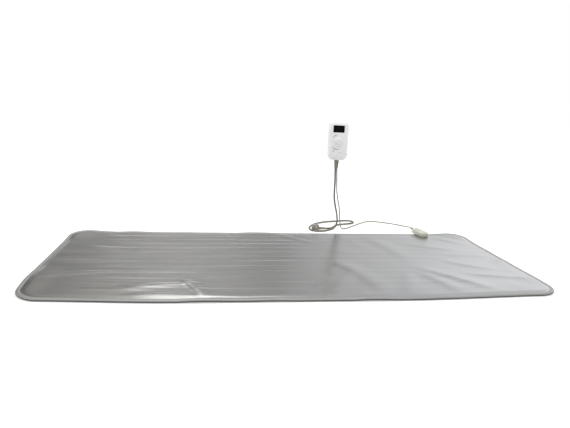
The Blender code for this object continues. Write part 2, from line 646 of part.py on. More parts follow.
def build_handset():
    front, rear = build_handset_shells()
    face_y = -FRONT_DEPTH

    # Display window, let into the front shell, with its module on the board behind it.
    window_size = (DISPLAY_SIZE[0], 0.0022, DISPLAY_SIZE[1])
    add_box("display_window", window_size, (0, face_y + 0.0008, DISPLAY_Z), BLACK_WINDOW,
            handset, bevel=0.0004)
    cut(front, box_mesh((DISPLAY_SIZE[0] + 2 * GAP, 0.012, DISPLAY_SIZE[1] + 2 * GAP)), handset,
        (0, face_y, DISPLAY_Z))
    module_front = face_y + 0.0030
    module_back = BOARD_Y - BOARD_SIZE[1] / 2 - GAP
    add_box("display_module", (DISPLAY_SIZE[0] - 0.002, module_back - module_front, 0.030),
            (0, (module_back + module_front) / 2, DISPLAY_Z - 0.001), DARK_PLASTIC, handset)

    # Temperature dial: a ring that turns on the rotary encoder's hollow shaft.
    sleeve, sleeve_back = 0.0055, -0.0113
    profile = [(0.0041, sleeve_back), (sleeve, sleeve_back), (sleeve, GAP), (DIAL_RADIUS, GAP),
               (DIAL_RADIUS - 0.0004, DIAL_HEIGHT - 0.0016), (DIAL_RADIUS - 0.0018, DIAL_HEIGHT),
               (BUTTON_RADIUS + 0.0016, DIAL_HEIGHT), (BUTTON_RADIUS + 0.0006, DIAL_HEIGHT - 0.001),
               (BUTTON_RADIUS + 0.0006, 0.0012), (0.0041, 0.0012)]

    def build_ring(bm):
        steps = 32
        rows = []
        for k in range(steps):
            angle = 2 * pi * k / steps
            rows.append([bm.verts.new((r * cos(angle), r * sin(angle), h)) for r, h in profile])
        count = len(profile)
        for k in range(steps):
            near, far = rows[k], rows[(k + 1) % steps]
            for i in range(count):
                j = (i + 1) % count
                bm.faces.new((near[i], near[j], far[j], far[i]))
    outward = Matrix.Rotation(pi / 2, 4, "X")
    dial_mesh = mesh_from(build_ring)
    dial_mesh.transform(outward)
    add_object("temperature_dial", dial_mesh, WHITE_PLASTIC, handset, (0, face_y, DIAL_Z))

    # Push button in the middle of the dial, its stem passing the face.
    stem_radius = 0.0035
    stem_back = -0.0095
    disc_base = 0.0012 + BUTTON_TRAVEL + GAP
    profile = [(stem_radius, stem_back), (stem_radius, disc_base), (BUTTON_RADIUS, disc_base),
               (BUTTON_RADIUS, DIAL_HEIGHT + 0.0006), (BUTTON_RADIUS - 0.0014, DIAL_HEIGHT + 0.0016)]
    button_mesh = turned_mesh(profile, 24)
    button_mesh.transform(outward)
    add_object("mode_button", button_mesh, WHITE_PLASTIC, handset, (0, face_y, DIAL_Z))
    cut(front, rod_mesh(sleeve + 0.0005, 0.012, axis="Y", sides=24), handset,
        (0, face_y, DIAL_Z))
    encoder_front = face_y - stem_back + 0.0021
    encoder_back = BOARD_Y - BOARD_SIZE[1] / 2 - GAP
    add_box("rotary_encoder", (0.014, encoder_back - encoder_front, 0.014),
            (0, (encoder_back + encoder_front) / 2, DIAL_Z), GREY_PLASTIC, handset, bevel=0.0005)

    # Power slide on the right side, in a slot through the shell wall.
    side_x = HANDSET_WIDTH / 2 - 0.0018
    slot_y = -0.0068
    knob_low = SWITCH_Z - SWITCH_SLOT[1] / 2 + 0.0012
    knob_height = SWITCH_SLOT[1] - SWITCH_TRAVEL - 0.0024
    cut(front, box_mesh((0.016, SWITCH_SLOT[0], SWITCH_SLOT[1])), handset,
        (side_x, slot_y, SWITCH_Z))
    add_box("power_slide", (0.0074, SWITCH_SLOT[0] - 0.0016, knob_height),
            (side_x - 0.0028, slot_y, knob_low + knob_height / 2), GREY_PLASTIC, handset,
            bevel=0.0006)
    add_box("switch_body", (0.0060, 0.0065, 0.020), (side_x - 0.0100, slot_y, SWITCH_Z),
            DARK_PLASTIC, handset, bevel=0.0004)

    # Indicator lamp lens, flush in the face.
    add_rod("lamp_lens", 0.0022, 0.0030, (LAMP_X, face_y + 0.0012, LAMP_Z), RED_LENS, handset,
            axis="Y", sides=16)
    cut(front, rod_mesh(0.0022 + GAP, 0.012, axis="Y", sides=16), handset,
        (LAMP_X, face_y, LAMP_Z))

    # Circuit board and what is soldered to its back.
    board_z = 0.0115
    add_box("circuit_board", BOARD_SIZE, (0, BOARD_Y, board_z), BOARD_GREEN, handset)
    back_y = BOARD_Y + BOARD_SIZE[1] / 2 + GAP
    for name, size, x, z in (("power_relay", (0.019, 0.0150, 0.0155), -0.018, 0.045),
                             ("supply_transformer", (0.024, 0.0155, 0.022), 0.016, 0.040),
                             ("terminal_block", (0.036, 0.0100, 0.010), 0.0, TERMINAL_Z)):
        add_box(name, size, (x, back_y + size[1] / 2, z), DARK_PLASTIC, handset, bevel=0.0005)
    add_rod("fuse", 0.0026, 0.020, (-0.010, back_y + 0.0030, 0.012), NICKEL, handset, axis="X",
            sides=12)

    # Four screws enter the posts that stand on the rear shell.
    corner_x, corner_z = 0.0300, 0.0680
    for number, (sx, sz) in enumerate(((-1, -1), (1, -1), (1, 1), (-1, 1)), start=1):
        x, z = sx * corner_x * (0.86 if sz < 0 else 1.0), sz * corner_z
        z -= 0.0015 if sz < 0 else 0.0
        post_back = REAR_DEPTH - SHELL_WALL + 0.0006
        post_front = -(FRONT_DEPTH - 0.0090)
        post_length = post_back - post_front
        join(rear, rod_mesh(0.0034, post_length, axis="Y", sides=12), handset,
             (x, (post_back + post_front) / 2, z))
        cut(rear, rod_mesh(0.0015, 0.016, axis="Y", sides=12), handset,
            (x, REAR_DEPTH - 0.0070, z))
        profile = [(0.0012, -0.0120), (0.0012, GAP), (0.0028, GAP), (0.0028, 0.0011),
                   (0.0020, 0.0016)]
        screw_mesh = turned_mesh(profile, 12)
        screw_mesh.transform(Matrix.Rotation(-pi / 2, 4, "X"))
        add_object(f"case_screw_{number}", screw_mesh, NICKEL, handset, (x, REAR_DEPTH, z))
    return front, rear


shell_front, shell_rear = build_handset()


def build_strain_relief(front, rear):
    """Tapered twin sleeve under the controller, with the clamp and tails above it."""
    base_z = -HANDSET_HEIGHT / 2
    neck = (0.0170, 0.0100)
    flange = (0.0200, 0.0130)
    stations = [(0.0075, flange), (0.0028, flange), (0.0028, neck), (-GAP, neck),
                (-GAP, RELIEF_TOP), (-0.0016, RELIEF_TOP)]
    for share in (0.25, 0.55, 1.0):
        width = RELIEF_TOP[0] + (RELIEF_TIP[0] - RELIEF_TOP[0]) * share ** 0.6
        depth = RELIEF_TOP[1] + (RELIEF_TIP[1] - RELIEF_TOP[1]) * share ** 0.6
        stations.append((-RELIEF_LENGTH * share, (width, depth)))
    rings = []
    for height, (width, depth) in stations:
        rings.append([(width / 2 * cos(2 * pi * k / 20), depth / 2 * sin(2 * pi * k / 20),
                       base_z + height) for k in range(20)])
    add_object("strain_relief", mesh_from(ring_surface(rings, cap_first=True, cap_last=True)),
               CORD_PLASTIC, handset)
    for shell in (front, rear):
        cut(shell, box_mesh((neck[0] + 2 * GAP, neck[1] + 2 * GAP, 0.008)), handset,
            (0, 0, base_z))

    tail_low = base_z + stations[0][0] + GAP
    tail_high = TERMINAL_Z - 0.005 - GAP
    for name, side, radius in (("mains_tail", -1, 0.0030), ("lead_tail", 1, 0.0026)):
        add_rod(name, radius, tail_high - tail_low,
                (side * CORD_SPREAD, 0, (tail_high + tail_low) / 2), CORD_PLASTIC, handset,
                sides=12)

    clamp_z = base_z + 0.0200
    clamp = add_box("cable_clamp", (0.0300, 0.0030, 0.0080), (0, 0.0049, clamp_z),
                    GREY_PLASTIC, handset, bevel=0.0006)
    for number, side in ((1, -1), (2, 1)):
        profile = [(0.0012, -0.0090), (0.0012, GAP), (0.0024, GAP), (0.0024, 0.0012)]
        screw_mesh = turned_mesh(profile, 12)
        screw_mesh.transform(Matrix.Rotation(-pi / 2, 4, "X"))
        add_object(f"clamp_screw_{number}", screw_mesh, NICKEL, handset,
                   (side * 0.0115, 0.0064, clamp_z))
        cut(clamp, rod_mesh(0.0015, 0.010, axis="Y", sides=12), handset,
            (side * 0.0115, 0.0049, clamp_z))


build_strain_relief(shell_front, shell_rear)


# ---- the cords -------------------------------------------------------------------------
add_tube("mains_cord", smooth_route(MAINS_ROUTE, 0.0175), MAINS_RADIUS, CORD_PLASTIC)
add_tube("lead_cord", smooth_route(LEAD_ROUTE, 0.0160), LEAD_RADIUS, CORD_PLASTIC)


# ---- the mains plug ----------------------------------------------------------------------
def build_mains_plug():
    """Round two-pin plug lying on its back, with its cord leaving sideways."""
    plug = add_frame("plug_frame", (*PLUG_AT, 0.0))
    pocket, insert_radius = 0.0020, 0.0150
    profile = [(PLUG_RADIUS - 0.0025, 0.0), (PLUG_RADIUS, 0.0025), (PLUG_RADIUS, 0.0180),
               (PLUG_RADIUS - 0.0012, 0.0235), (PLUG_RADIUS - 0.0026, PLUG_HEIGHT)]
    body = add_object("plug_body", turned_mesh(profile, 28), CORD_PLASTIC, plug)
    cut(body, rod_mesh(insert_radius + GAP, 2 * pocket, sides=28), plug, (0, 0, PLUG_HEIGHT))
    insert_z = PLUG_HEIGHT - pocket + GAP
    insert = add_rod("plug_insert", insert_radius, pocket, (0, 0, insert_z + pocket / 2),
                     GREY_PLASTIC, plug, sides=28)
    pin_base = PLUG_HEIGHT - 0.0080
    pin_tip = PLUG_HEIGHT + PLUG_PIN_LENGTH
    for name, side in (("plug_pin_live", -1), ("plug_pin_neutral", 1)):
        x = side * PLUG_PIN_PITCH / 2
        profile = [(PLUG_PIN_RADIUS, pin_base), (PLUG_PIN_RADIUS, pin_tip - 0.0015),
                   (PLUG_PIN_RADIUS - 0.0008, pin_tip - 0.0004),
                   (PLUG_PIN_RADIUS - 0.0015, pin_tip)]
        add_object(name, turned_mesh(profile, 14), NICKEL, plug, (x, 0, 0))
        for target in (body, insert):
            cut(target, rod_mesh(PLUG_PIN_RADIUS + GAP, 0.0200, sides=14), plug,
                (x, 0, pin_base + 0.0097))
    for name, side in (("plug_earth_clip_1", -1), ("plug_earth_clip_2", 1)):
        y = side * (PLUG_RADIUS - 0.0012)
        add_box(name, (0.0055, 0.0012, 0.0130), (0, y, PLUG_HEIGHT - 0.0075), NICKEL, plug)
        cut(body, box_mesh((0.0061, 0.0040, 0.0142)), plug,
            (0, side * (PLUG_RADIUS + 0.0001), PLUG_HEIGHT - 0.0070))
    sections = [(0.0, 0.0064), (0.010, 0.0062), (PLUG_BOOT_LENGTH, 0.0050)]
    boot_mesh = turned_mesh([(radius, at) for at, radius in sections], 14)
    boot_mesh.transform(Matrix.Rotation(pi / 2, 4, "Y"))
    boot_x = PLUG_RADIUS - 0.0004
    add_object("plug_boot", boot_mesh, CORD_PLASTIC, plug, (boot_x, 0, PLUG_CABLE_Z))
    cut(body, rod_mesh(0.0064 + GAP, 0.006, axis="X", sides=14), plug,
        (boot_x + 0.003 - GAP, 0, PLUG_CABLE_Z))


build_mains_plug()
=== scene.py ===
# %% [markdown]
# # An infrared sauna blanket and its hand control
# The object is a padded heating mat, about the size of a person, sewn up in silver
# PVC-coated cloth. A short lead plugs into a connector on its edge and runs to a white
# hand control, which hangs on its two cords over the far side. A mains cord with a round
# two-pin plug leaves the control beside the lead.
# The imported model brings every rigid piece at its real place. This script gives the soft
# parts their shape, refines the mouldings, and gives every surface its finish.

import math

import bmesh
import bpy
import numpy as np
from mathutils import Matrix, Vector
from mathutils.geometry import interpolate_bezier


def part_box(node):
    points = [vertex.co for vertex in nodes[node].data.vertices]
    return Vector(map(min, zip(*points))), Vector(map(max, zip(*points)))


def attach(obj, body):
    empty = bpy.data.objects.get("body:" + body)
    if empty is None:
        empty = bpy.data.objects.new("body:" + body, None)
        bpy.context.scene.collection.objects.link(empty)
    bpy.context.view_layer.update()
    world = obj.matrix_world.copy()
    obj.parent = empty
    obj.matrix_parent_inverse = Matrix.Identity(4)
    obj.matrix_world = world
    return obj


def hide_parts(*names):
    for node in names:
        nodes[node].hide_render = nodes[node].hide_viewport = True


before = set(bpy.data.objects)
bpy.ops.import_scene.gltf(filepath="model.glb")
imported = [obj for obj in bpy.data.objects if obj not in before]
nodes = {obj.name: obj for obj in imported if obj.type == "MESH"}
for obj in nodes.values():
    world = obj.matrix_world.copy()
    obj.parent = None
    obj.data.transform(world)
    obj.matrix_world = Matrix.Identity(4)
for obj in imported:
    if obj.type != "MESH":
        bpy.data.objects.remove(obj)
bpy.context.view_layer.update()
MM = 0.001

# %% [markdown]
# ## The camera
# A low, wide view: the eye is 61 cm above the floor, in front of the mat and left of its
# middle, looking a little down and to the right. The tilt of about three degrees is what
# a hand-held camera gives. A moderately wide lens makes the near corners reach out.

# %% The camera
CAMERA_AT = Vector((-0.304, -1.850, 0.611))
CAMERA_DOWN, CAMERA_RIGHT, CAMERA_TILT = 12.69, 8.51, 2.71


def deselect():
    """Nothing stays selected, so that the next operator acts on its own piece only."""
    for other in bpy.context.selected_objects:
        other.select_set(False)


deselect()
bpy.ops.object.camera_add(location=CAMERA_AT)
camera = bpy.context.object
camera.name = "camera"
camera.rotation_euler = (Matrix.Rotation(math.radians(-CAMERA_RIGHT), 4, "Z")
                         @ Matrix.Rotation(math.radians(90 - CAMERA_DOWN), 4, "X")
                         @ Matrix.Rotation(math.radians(CAMERA_TILT), 4, "Z")).to_euler()
camera.data.lens = 31.96
camera.data.clip_start, camera.data.clip_end = 0.05, 60
bpy.context.scene.camera = camera
print("camera at", tuple(round(x, 3) for x in camera.location))

# %% [markdown]
# ## Materials: two small helpers
# Colours are written as sRGB hex values, as a paint or plastic maker gives them, and one
# function turns them into the linear values that a shader mixes. One other function adds
# a node with its settings and its links. Everything else is the Principled shader, with
# patterns in real millimetres on Object coordinates, which are metres here.

# %% Colour and node helpers
def linear(hex_value):
    """sRGB hex to linear red, green, blue and alpha."""
    parts = [int(hex_value[i:i + 2], 16) / 255 for i in (1, 3, 5)]
    return [c / 12.92 if c <= 0.04045 else ((c + 0.055) / 1.055) ** 2.4 for c in parts] + [1.0]


def add_node(tree, kind, inputs, **settings):
    """One node: its settings, then its inputs, each a value or another node's output."""
    made = tree.nodes.new(kind)
    for name, value in settings.items():
        setattr(made, name, value)
    for key, value in inputs.items():
        if isinstance(value, bpy.types.NodeSocket):
            tree.links.new(value, made.inputs[key])
        else:
            made.inputs[key].default_value = value
    return made


def new_material(name, colour, roughness, metallic=0.0, ior=1.5, **sockets):
    """A Principled material; sockets are further inputs that are the same all over."""
    material = bpy.data.materials.new(name)
    material.use_nodes = True
    shader = material.node_tree.nodes["Principled BSDF"]
    shader.inputs["Base Color"].default_value = linear(colour)
    shader.inputs["Roughness"].default_value = roughness
    shader.inputs["Metallic"].default_value = metallic
    if metallic < 1.0:
        shader.inputs["IOR"].default_value = ior
    for key, value in sockets.items():
        shader.inputs[key.replace("_", " ")].default_value = value
    return material


def noise(tree, place, size, detail=3.0, stretch=(1, 1, 1), roughness=0.55):
    """Noise whose features are about size metres across, longer where stretch is more."""
    mapping = add_node(tree, "ShaderNodeMapping",
                       {"Vector": place, "Scale": [1 / (size * s) for s in stretch]})
    return add_node(tree, "ShaderNodeTexNoise", {"Vector": mapping.outputs[0], "Scale": 1.0,
                                                 "Detail": detail, "Roughness": roughness})


def object_place(tree):
    return add_node(tree, "ShaderNodeTexCoord", {}).outputs["Object"]


def tint(tree, factor, low, high):
    """A colour that runs from low to high as factor runs over its middle half."""
    ramp = add_node(tree, "ShaderNodeValToRGB", {"Fac": factor})
    for stop, at, colour in zip(ramp.color_ramp.elements, (0.3, 0.7), (low, high)):
        stop.position, stop.color = at, linear(colour)
    return ramp.outputs["Color"]


def span(tree, factor, low, high):
    """A number that runs from low to high as factor runs over its middle half."""
    return add_node(tree, "ShaderNodeMapRange",
                    {"Value": factor, "From Min": 0.3, "From Max": 0.7,
                     "To Min": low, "To Max": high}).outputs[0]


def wire(material, **links):
    """Links patterns to the shader's inputs, such as Base_Color."""
    shader = material.node_tree.nodes["Principled BSDF"]
    for key, value in links.items():
        material.node_tree.links.new(value, shader.inputs[key.replace("_", " ")])


def bump(tree, height, depth, below=None):
    """A normal from a height pattern that is depth metres deep."""
    inputs = {"Height": height, "Strength": 1.0, "Distance": depth}
    if below is not None:
        inputs["Normal"] = below
    return add_node(tree, "ShaderNodeBump", inputs).outputs[0]


def mesh_object(name, vertices, edges, faces):
    """A new object in the scene, made of these vertices, edges and faces."""
    mesh = bpy.data.meshes.new(name)
    mesh.from_pydata(vertices, edges, faces)
    piece = bpy.data.objects.new(name, mesh)
    bpy.context.collection.objects.link(piece)
    return piece


def faces_outward(piece, merge=0.0):
    """Turns the faces of a closed shape outwards, after merging vertices that close together."""
    bm = bmesh.new()
    bm.from_mesh(piece.data)
    if merge:
        bmesh.ops.remove_doubles(bm, verts=bm.verts, dist=merge)
    bmesh.ops.recalc_face_normals(bm, faces=bm.faces)
    bm.to_mesh(piece.data)
    bm.free()
    return piece


print("helpers ready")

# %% [markdown]
# ## The cords
# Each cord is a fixed length of flexible PVC-sheathed cable. It leaves the tapered strain
# relief straight down, hangs under its own weight, and lies on the floor in the loose
# curves it was dropped in. A curve object with a round bevel is the natural way to make
# one: its own line is the cable's centre line. The route's points are those of the rigid
# model's cord, so the cord lies exactly where the model's does.

# %% Routes of the two cords
MAINS_DIAMETER, LEAD_DIAMETER = 0.0084, 0.0056
MAINS_LENGTH, LEAD_LENGTH = 1.10, 0.86
MAINS_ROUTE = [
    (0.2798, 0.5005, 0.3080),
    (0.2800, 0.5005, 0.3042), (0.2812, 0.5010, 0.2800), (0.2835, 0.5020, 0.2400),
    (0.2838, 0.5030, 0.2000), (0.2860, 0.5050, 0.1600), (0.2930, 0.5085, 0.1250),
    (0.3030, 0.5140, 0.0900), (0.3100, 0.5200, 0.0620), (0.3125, 0.5230, 0.0400),
    (0.3065, 0.5190, 0.0160), (0.2900, 0.5060, 0.0050), (0.2700, 0.4870, 0.0045),
    (0.2450, 0.4660, 0.0045), (0.2200, 0.4570, 0.0045), (0.1950, 0.4590, 0.0045),
    (0.1775, 0.4720, 0.0045), (0.1720, 0.4960, 0.0045), (0.1775, 0.5330, 0.0045),
    (0.2010, 0.5760, 0.0045), (0.2400, 0.6200, 0.0045), (0.2950, 0.6510, 0.0045),
    (0.3500, 0.6660, 0.0045), (0.3950, 0.6780, 0.0045), (0.4230, 0.6720, 0.0045),
    (0.4320, 0.6480, 0.0045), (0.4190, 0.6240, 0.0045), (0.3900, 0.6080, 0.0045),
    (0.3560, 0.5970, 0.0045), (0.3300, 0.5820, 0.0045), (0.3100, 0.5580, 0.0045),
    (0.2940, 0.5310, 0.0049), (0.2780, 0.5080, 0.0064), (0.2600, 0.4956, 0.0084),
    (0.2494, 0.4950, 0.0085), (0.2455, 0.4950, 0.0085),
]
LEAD_ROUTE = [
    (0.2868, 0.4995, 0.3080),
    (0.2870, 0.4995, 0.3042), (0.2890, 0.4990, 0.2800), (0.2915, 0.4985, 0.2400),
    (0.2940, 0.4970, 0.2000), (0.3000, 0.4955, 0.1600), (0.3090, 0.4955, 0.1250),
    (0.3150, 0.4965, 0.0900), (0.3190, 0.4975, 0.0580), (0.3235, 0.4985, 0.0270),
    (0.3330, 0.5030, 0.0080), (0.3500, 0.5130, 0.0034), (0.3800, 0.5380, 0.0033),
    (0.4180, 0.5790, 0.0033), (0.4660, 0.6300, 0.0033), (0.5080, 0.6640, 0.0033),
    (0.5500, 0.6700, 0.0033), (0.5950, 0.6500, 0.0033), (0.6400, 0.6200, 0.0033),
    (0.6720, 0.5900, 0.0034), (0.6830, 0.5560, 0.0070), (0.6800, 0.5250, 0.0140),
    (0.6755, 0.4960, 0.0195), (0.6785, 0.4720, 0.0202), (0.6790, 0.4685, 0.0202),
]

# %% The cords as bevelled curves
def smooth_points(route, steps=5):
    """Points on one smooth curve through the route's own points."""
    knots = [Vector(point) for point in route]
    points = [knots[0]]
    for i in range(len(knots) - 1):
        before, start = knots[max(i - 1, 0)], knots[i]
        end, after = knots[i + 1], knots[min(i + 2, len(knots) - 1)]
        reach = (end - start).length / 3
        points += interpolate_bezier(start, start + (end - before).normalized() * reach,
                                     end - (after - start).normalized() * reach, end,
                                     steps + 1)[1:]
    return points


def cord(name, route, diameter, material):
    """A free cord: one open spline with a round section and closed ends."""
    points = smooth_points(route)
    curve = bpy.data.curves.new(name, "CURVE")
    curve.dimensions = "3D"
    curve.bevel_depth, curve.bevel_resolution = diameter / 2, 5
    curve.use_fill_caps = True
    spline = curve.splines.new("POLY")
    spline.points.add(len(points) - 1)
    for point, place in zip(spline.points, points):
        point.co = (*place, 1.0)
    spline.use_smooth = True
    curve.materials.append(material)
    piece = bpy.data.objects.new(name, curve)
    bpy.context.collection.objects.link(piece)
    length = sum((b - a).length for a, b in zip(points, points[1:]))
    print(f"{name}: {length:.3f} m long, {len(points)} points")
    return piece


# %% [markdown]
# ### Cable sheath: flexible PVC
# Soft PVC is extruded over the cores, so it is satin, even along its length, and picks up
# faint handling marks. The mains cord is a warm grey. The thinner lead is drawn paler, as
# painted light for the light it catches lying on the floor.

# %% Sheath materials and the two cords
def sheath(name, low, high):
    material = new_material(name, low, 0.42, ior=1.54)
    tree = material.node_tree
    place = object_place(tree)
    marks = noise(tree, place, 0.018, detail=4).outputs["Fac"]
    wire(material, Base_Color=tint(tree, marks, low, high),
         Roughness=span(tree, marks, 0.36, 0.50),
         Normal=bump(tree, noise(tree, place, 0.0016).outputs["Fac"], 0.00006))
    return material


mains_sheath = sheath("flexible PVC cable sheath, warm grey", "#656257", "#726f63")
# The lead's paler grey is painted light: it stands for the light it catches lying on the floor.
lead_sheath_painted_paler = sheath("flexible PVC cable sheath, mid grey", "#83806f", "#918e7e")
mains_cord = cord("mains_cable", MAINS_ROUTE, MAINS_DIAMETER, mains_sheath)
lead_cord = cord("lead_cable", LEAD_ROUTE, LEAD_DIAMETER, lead_sheath_painted_paler)

PLUG_NODES = ["plug_body", "plug_insert", "plug_pin_live", "plug_pin_neutral",
              "plug_earth_clip_1", "plug_earth_clip_2", "plug_boot"]

# %% [markdown]
# ## Stage and light
# The mat is metallic, so what it looks like is what it reflects, and a bare white room
# leaves it flat and bright. So the wall ahead is dark at the left and bright at the right,
# with dips between, by a table of bearings tuned by trial. Two weak strip lamps draw the
# bright streak near the mat's front left edge. The floor is plain white, and so is the
# backdrop when seen directly, from every side. The wall only lights things and shows in
# what they reflect.

# %% White floor
FLOOR_Z = -0.0006
deselect()
bpy.ops.mesh.primitive_plane_add(size=40, location=(0, 0, FLOOR_Z))
floor = bpy.context.object
floor.name = "studio_floor"
floor_paint = new_material("matt white studio floor", "#fbfbfb", 0.9)
floor_shader = floor_paint.node_tree.nodes["Principled BSDF"]
floor_shader.inputs["Emission Color"].default_value = linear("#ffffff")
floor_shader.inputs["Emission Strength"].default_value = 0.30
floor.data.materials.append(floor_paint)

# %% Studio walls, as the world's colour by direction
# The wall ahead, by bearing in degrees right of straight ahead: how bright it is low down,
# how bright it is higher up, and how bright the backdrop below it is.
WALL = ((-75, 0.50, 0.70, 1.0), (-55, 0.10, 0.45, 0.10), (-26, 0.03, 0.24, 0.10),
        (-22.5, 0.03, 0.36, 1.0), (-18, 0.03, 0.56, 1.0), (-12, 0.08, 0.80, 1.0),
        (-6, 0.38, 0.76, 1.0), (1, 0.40, 0.78, 1.0), (8.5, 0.28, 0.44, 1.0),
        (12.5, 0.62, 0.74, 1.0), (17, 0.80, 0.82, 1.0), (24, 1.10, 0.80, 1.0),
        (31, 1.60, 0.98, 1.05), (50, 1.55, 1.15, 1.3), (75, 0.80, 0.80, 1.0))
WARM, COOL = (1.0, 0.975, 0.93), (0.985, 1.0, 1.035)


def studio(walls=0.74, low=12.5, high=44.0, top=68.0):
    """White backdrop, paler walls, and ahead a wall that runs from dark left to bright right."""
    world = bpy.data.worlds.new("white studio with one dark wall")
    bpy.context.scene.world = world
    world.use_nodes = True
    tree = world.node_tree
    away = add_node(tree, "ShaderNodeTexCoord", {}).outputs["Generated"]
    parts = add_node(tree, "ShaderNodeSeparateXYZ", {"Vector": away})
    azimuth = add_node(tree, "ShaderNodeMath", {0: parts.outputs[0], 1: parts.outputs[1]},
                       operation="ARCTAN2").outputs[0]

    def ramp(value, start, end):
        return add_node(tree, "ShaderNodeMapRange",
                        {"Value": value, "From Min": start, "From Max": end, "To Min": 0.0,
                         "To Max": 1.0}, interpolation_type="SMOOTHSTEP").outputs[0]

    def product(a, b):
        return add_node(tree, "ShaderNodeMath", {0: a, 1: b}, operation="MULTIPLY").outputs[0]

    def mix(factor, start, end):
        """Runs from start to end, each a grey level or a colour."""
        made = add_node(tree, "ShaderNodeMix", {"Factor": factor}, data_type="RGBA")
        for key, value in (("A_Color", start), ("B_Color", end)):
            socket = next(s for s in made.inputs if s.identifier == key)
            if isinstance(value, float):
                socket.default_value = (value, value, value, 1)
            else:
                tree.links.new(value, socket)
        return next(s for s in made.outputs if s.identifier == "Result_Color")

    reach = math.radians(WALL[-1][0])
    bearing = add_node(tree, "ShaderNodeMapRange",
                       {"Value": azimuth, "From Min": -reach, "From Max": reach}).outputs[0]

    def wall(column):
        """The wall's colour by bearing: warm at the left, cool at the right."""
        made = add_node(tree, "ShaderNodeValToRGB", {"Fac": bearing})
        stops = made.color_ramp.elements
        for at, *_ in WALL[1:-1]:
            stops.new(0.5 + 0.5 * at / WALL[-1][0])
        for stop, (at, *level) in zip(stops, WALL):
            cool = min(max((at + 15) / 40, 0), 1)
            tinge = [w + (c - w) * cool for w, c in zip(WARM, COOL)] if column < 2 else [1] * 3
            stop.color = [level[column] * c for c in tinge] + [1]
        return made.outputs["Color"]

    sine = [math.sin(math.radians(e)) for e in (low - 1.2, low - 0.4, high, top, 17.0, 24.0)]
    ahead = product(ramp(parts.outputs[1], -0.1, 0.25), ramp(parts.outputs[2], sine[3], sine[2]))
    band = mix(ramp(parts.outputs[2], sine[4], sine[5]), wall(0), wall(1))
    upper = mix(ahead, walls, band)
    level = mix(ramp(parts.outputs[2], sine[0], sine[1]), wall(2), upper)
    straight = add_node(tree, "ShaderNodeLightPath", {}).outputs["Is Camera Ray"]
    tree.links.new(mix(straight, level, 1.0), tree.nodes["Background"].inputs["Color"])
    return world


studio()

# %% Soft lamps
def softbox(name, at, towards, size, watts):
    deselect()
    bpy.ops.object.light_add(type="AREA", location=at)
    lamp = bpy.context.object
    lamp.name = name
    lamp.data.size = size
    lamp.data.energy = watts
    lamp.rotation_euler = (Vector(towards) - Vector(at)).to_track_quat("-Z", "Y").to_euler()
    return lamp


softbox("overhead softbox", (-0.3, 0.6, 3.2), (0, 0, 0), 2.6, 50)
softbox("strip behind the mat", (-0.60, 1.75, 2.25), (-0.42, -0.37, 0), 0.6, 2.1)
softbox("low strip behind the mat", (-0.66, 1.85, 1.62), (-0.46, -0.28, 0), 0.5, 1.2)
bpy.context.scene.view_settings.view_transform = "Standard"
print("stage and lights set")

# %% [markdown]
# ## The mat's padded skin
# The mat is cotton wadding, a foil film, felt and a long heating wire between two covers
# of coated cloth. It is a closed, slack skin: flat on the floor below, and above it shows
# the wire's twelve runs, the folds it was stored in, and slow waves where it doesn't lie
# quite flat. Cloth simulation is the usual way to pad a cushion, but on a pad one
# centimetre thick and nearly two metres long it would be likely to smooth such small marks
# away. So the skin is a fine grid whose height is a sum of plain functions, one for each
# cause.

# %% The mat's outline
_, mat_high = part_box("edge_binding")
HALF_X, HALF_Y = mat_high.x, mat_high.y
CORNER = 0.085
print(f"mat {2 * HALF_X:.3f} x {2 * HALF_Y:.3f} m")


def inset_of(x, y):
    """How far a place lies inside the mat's outline, a rectangle with round corners."""
    qx, qy = np.abs(x) - (HALF_X - CORNER), np.abs(y) - (HALF_Y - CORNER)
    outside = np.hypot(np.maximum(qx, 0), np.maximum(qy, 0))
    return CORNER - outside - np.minimum(np.maximum(qx, qy), 0)


def smooth(value, start, end):
    """0 before start, 1 after end, and a soft step between them."""
    t = np.clip((value - start) / (end - start), 0, 1)
    return t * t * (3 - 2 * t)


# %% The edge doesn't lie quite flat
connector_low, connector_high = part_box("socket_cover")
CONNECTOR_XY = ((connector_low.x + connector_high.x) / 2, HALF_Y)


def near_connector(x, y, reach):
    """1 at the connector, 0 beyond reach."""
    return 1 - smooth(np.hypot(x - CONNECTOR_XY[0], y - CONNECTOR_XY[1]), 0.4 * reach, reach)


def edge_lift(x, y):
    """The hem rises in waves of up to 2.8 mm, and both back corners curl up by up to 7.5 mm."""
    wave = (0.45 * np.sin(11.0 * x + 1.9 * np.sign(y)) + 0.35 * np.sin(23.0 * x - 7.0 * y + 0.6)
            + 0.30 * np.sin(17.0 * y + 4.0 * x + 2.1))
    lift = 0.0028 * smooth(wave, 0.05, 1.0)
    lift = lift * (1 - smooth(inset_of(x, y), 0.02, 0.11)) * (1 - near_connector(x, y, 0.16))
    curl = smooth(np.abs(x), HALF_X - 0.20, HALF_X - 0.03) * smooth(y, HALF_Y - 0.16, HALF_Y)
    return lift + 0.0075 * curl


def settled(x, y):
    """The front edge is drawn in, by 1 mm at its middle and up to 26 and 29 mm at its ends."""
    front = smooth(-y, 0.0, HALF_Y)
    corners = 0.025 * smooth(-x, 0.40, 0.90) + 0.028 * smooth(x, 0.30, 0.90)
    pinch = 0.011 * smooth(-x, 0.72, HALF_X) * smooth(-y, 0.20, HALF_Y)
    return x + pinch, y + front * (0.001 + corners)


# %% The heating wire shows through
WIRE_RUNS = 12
WIRE_REACH = 0.315
WIRE_ENDS = (-0.800, 0.640)


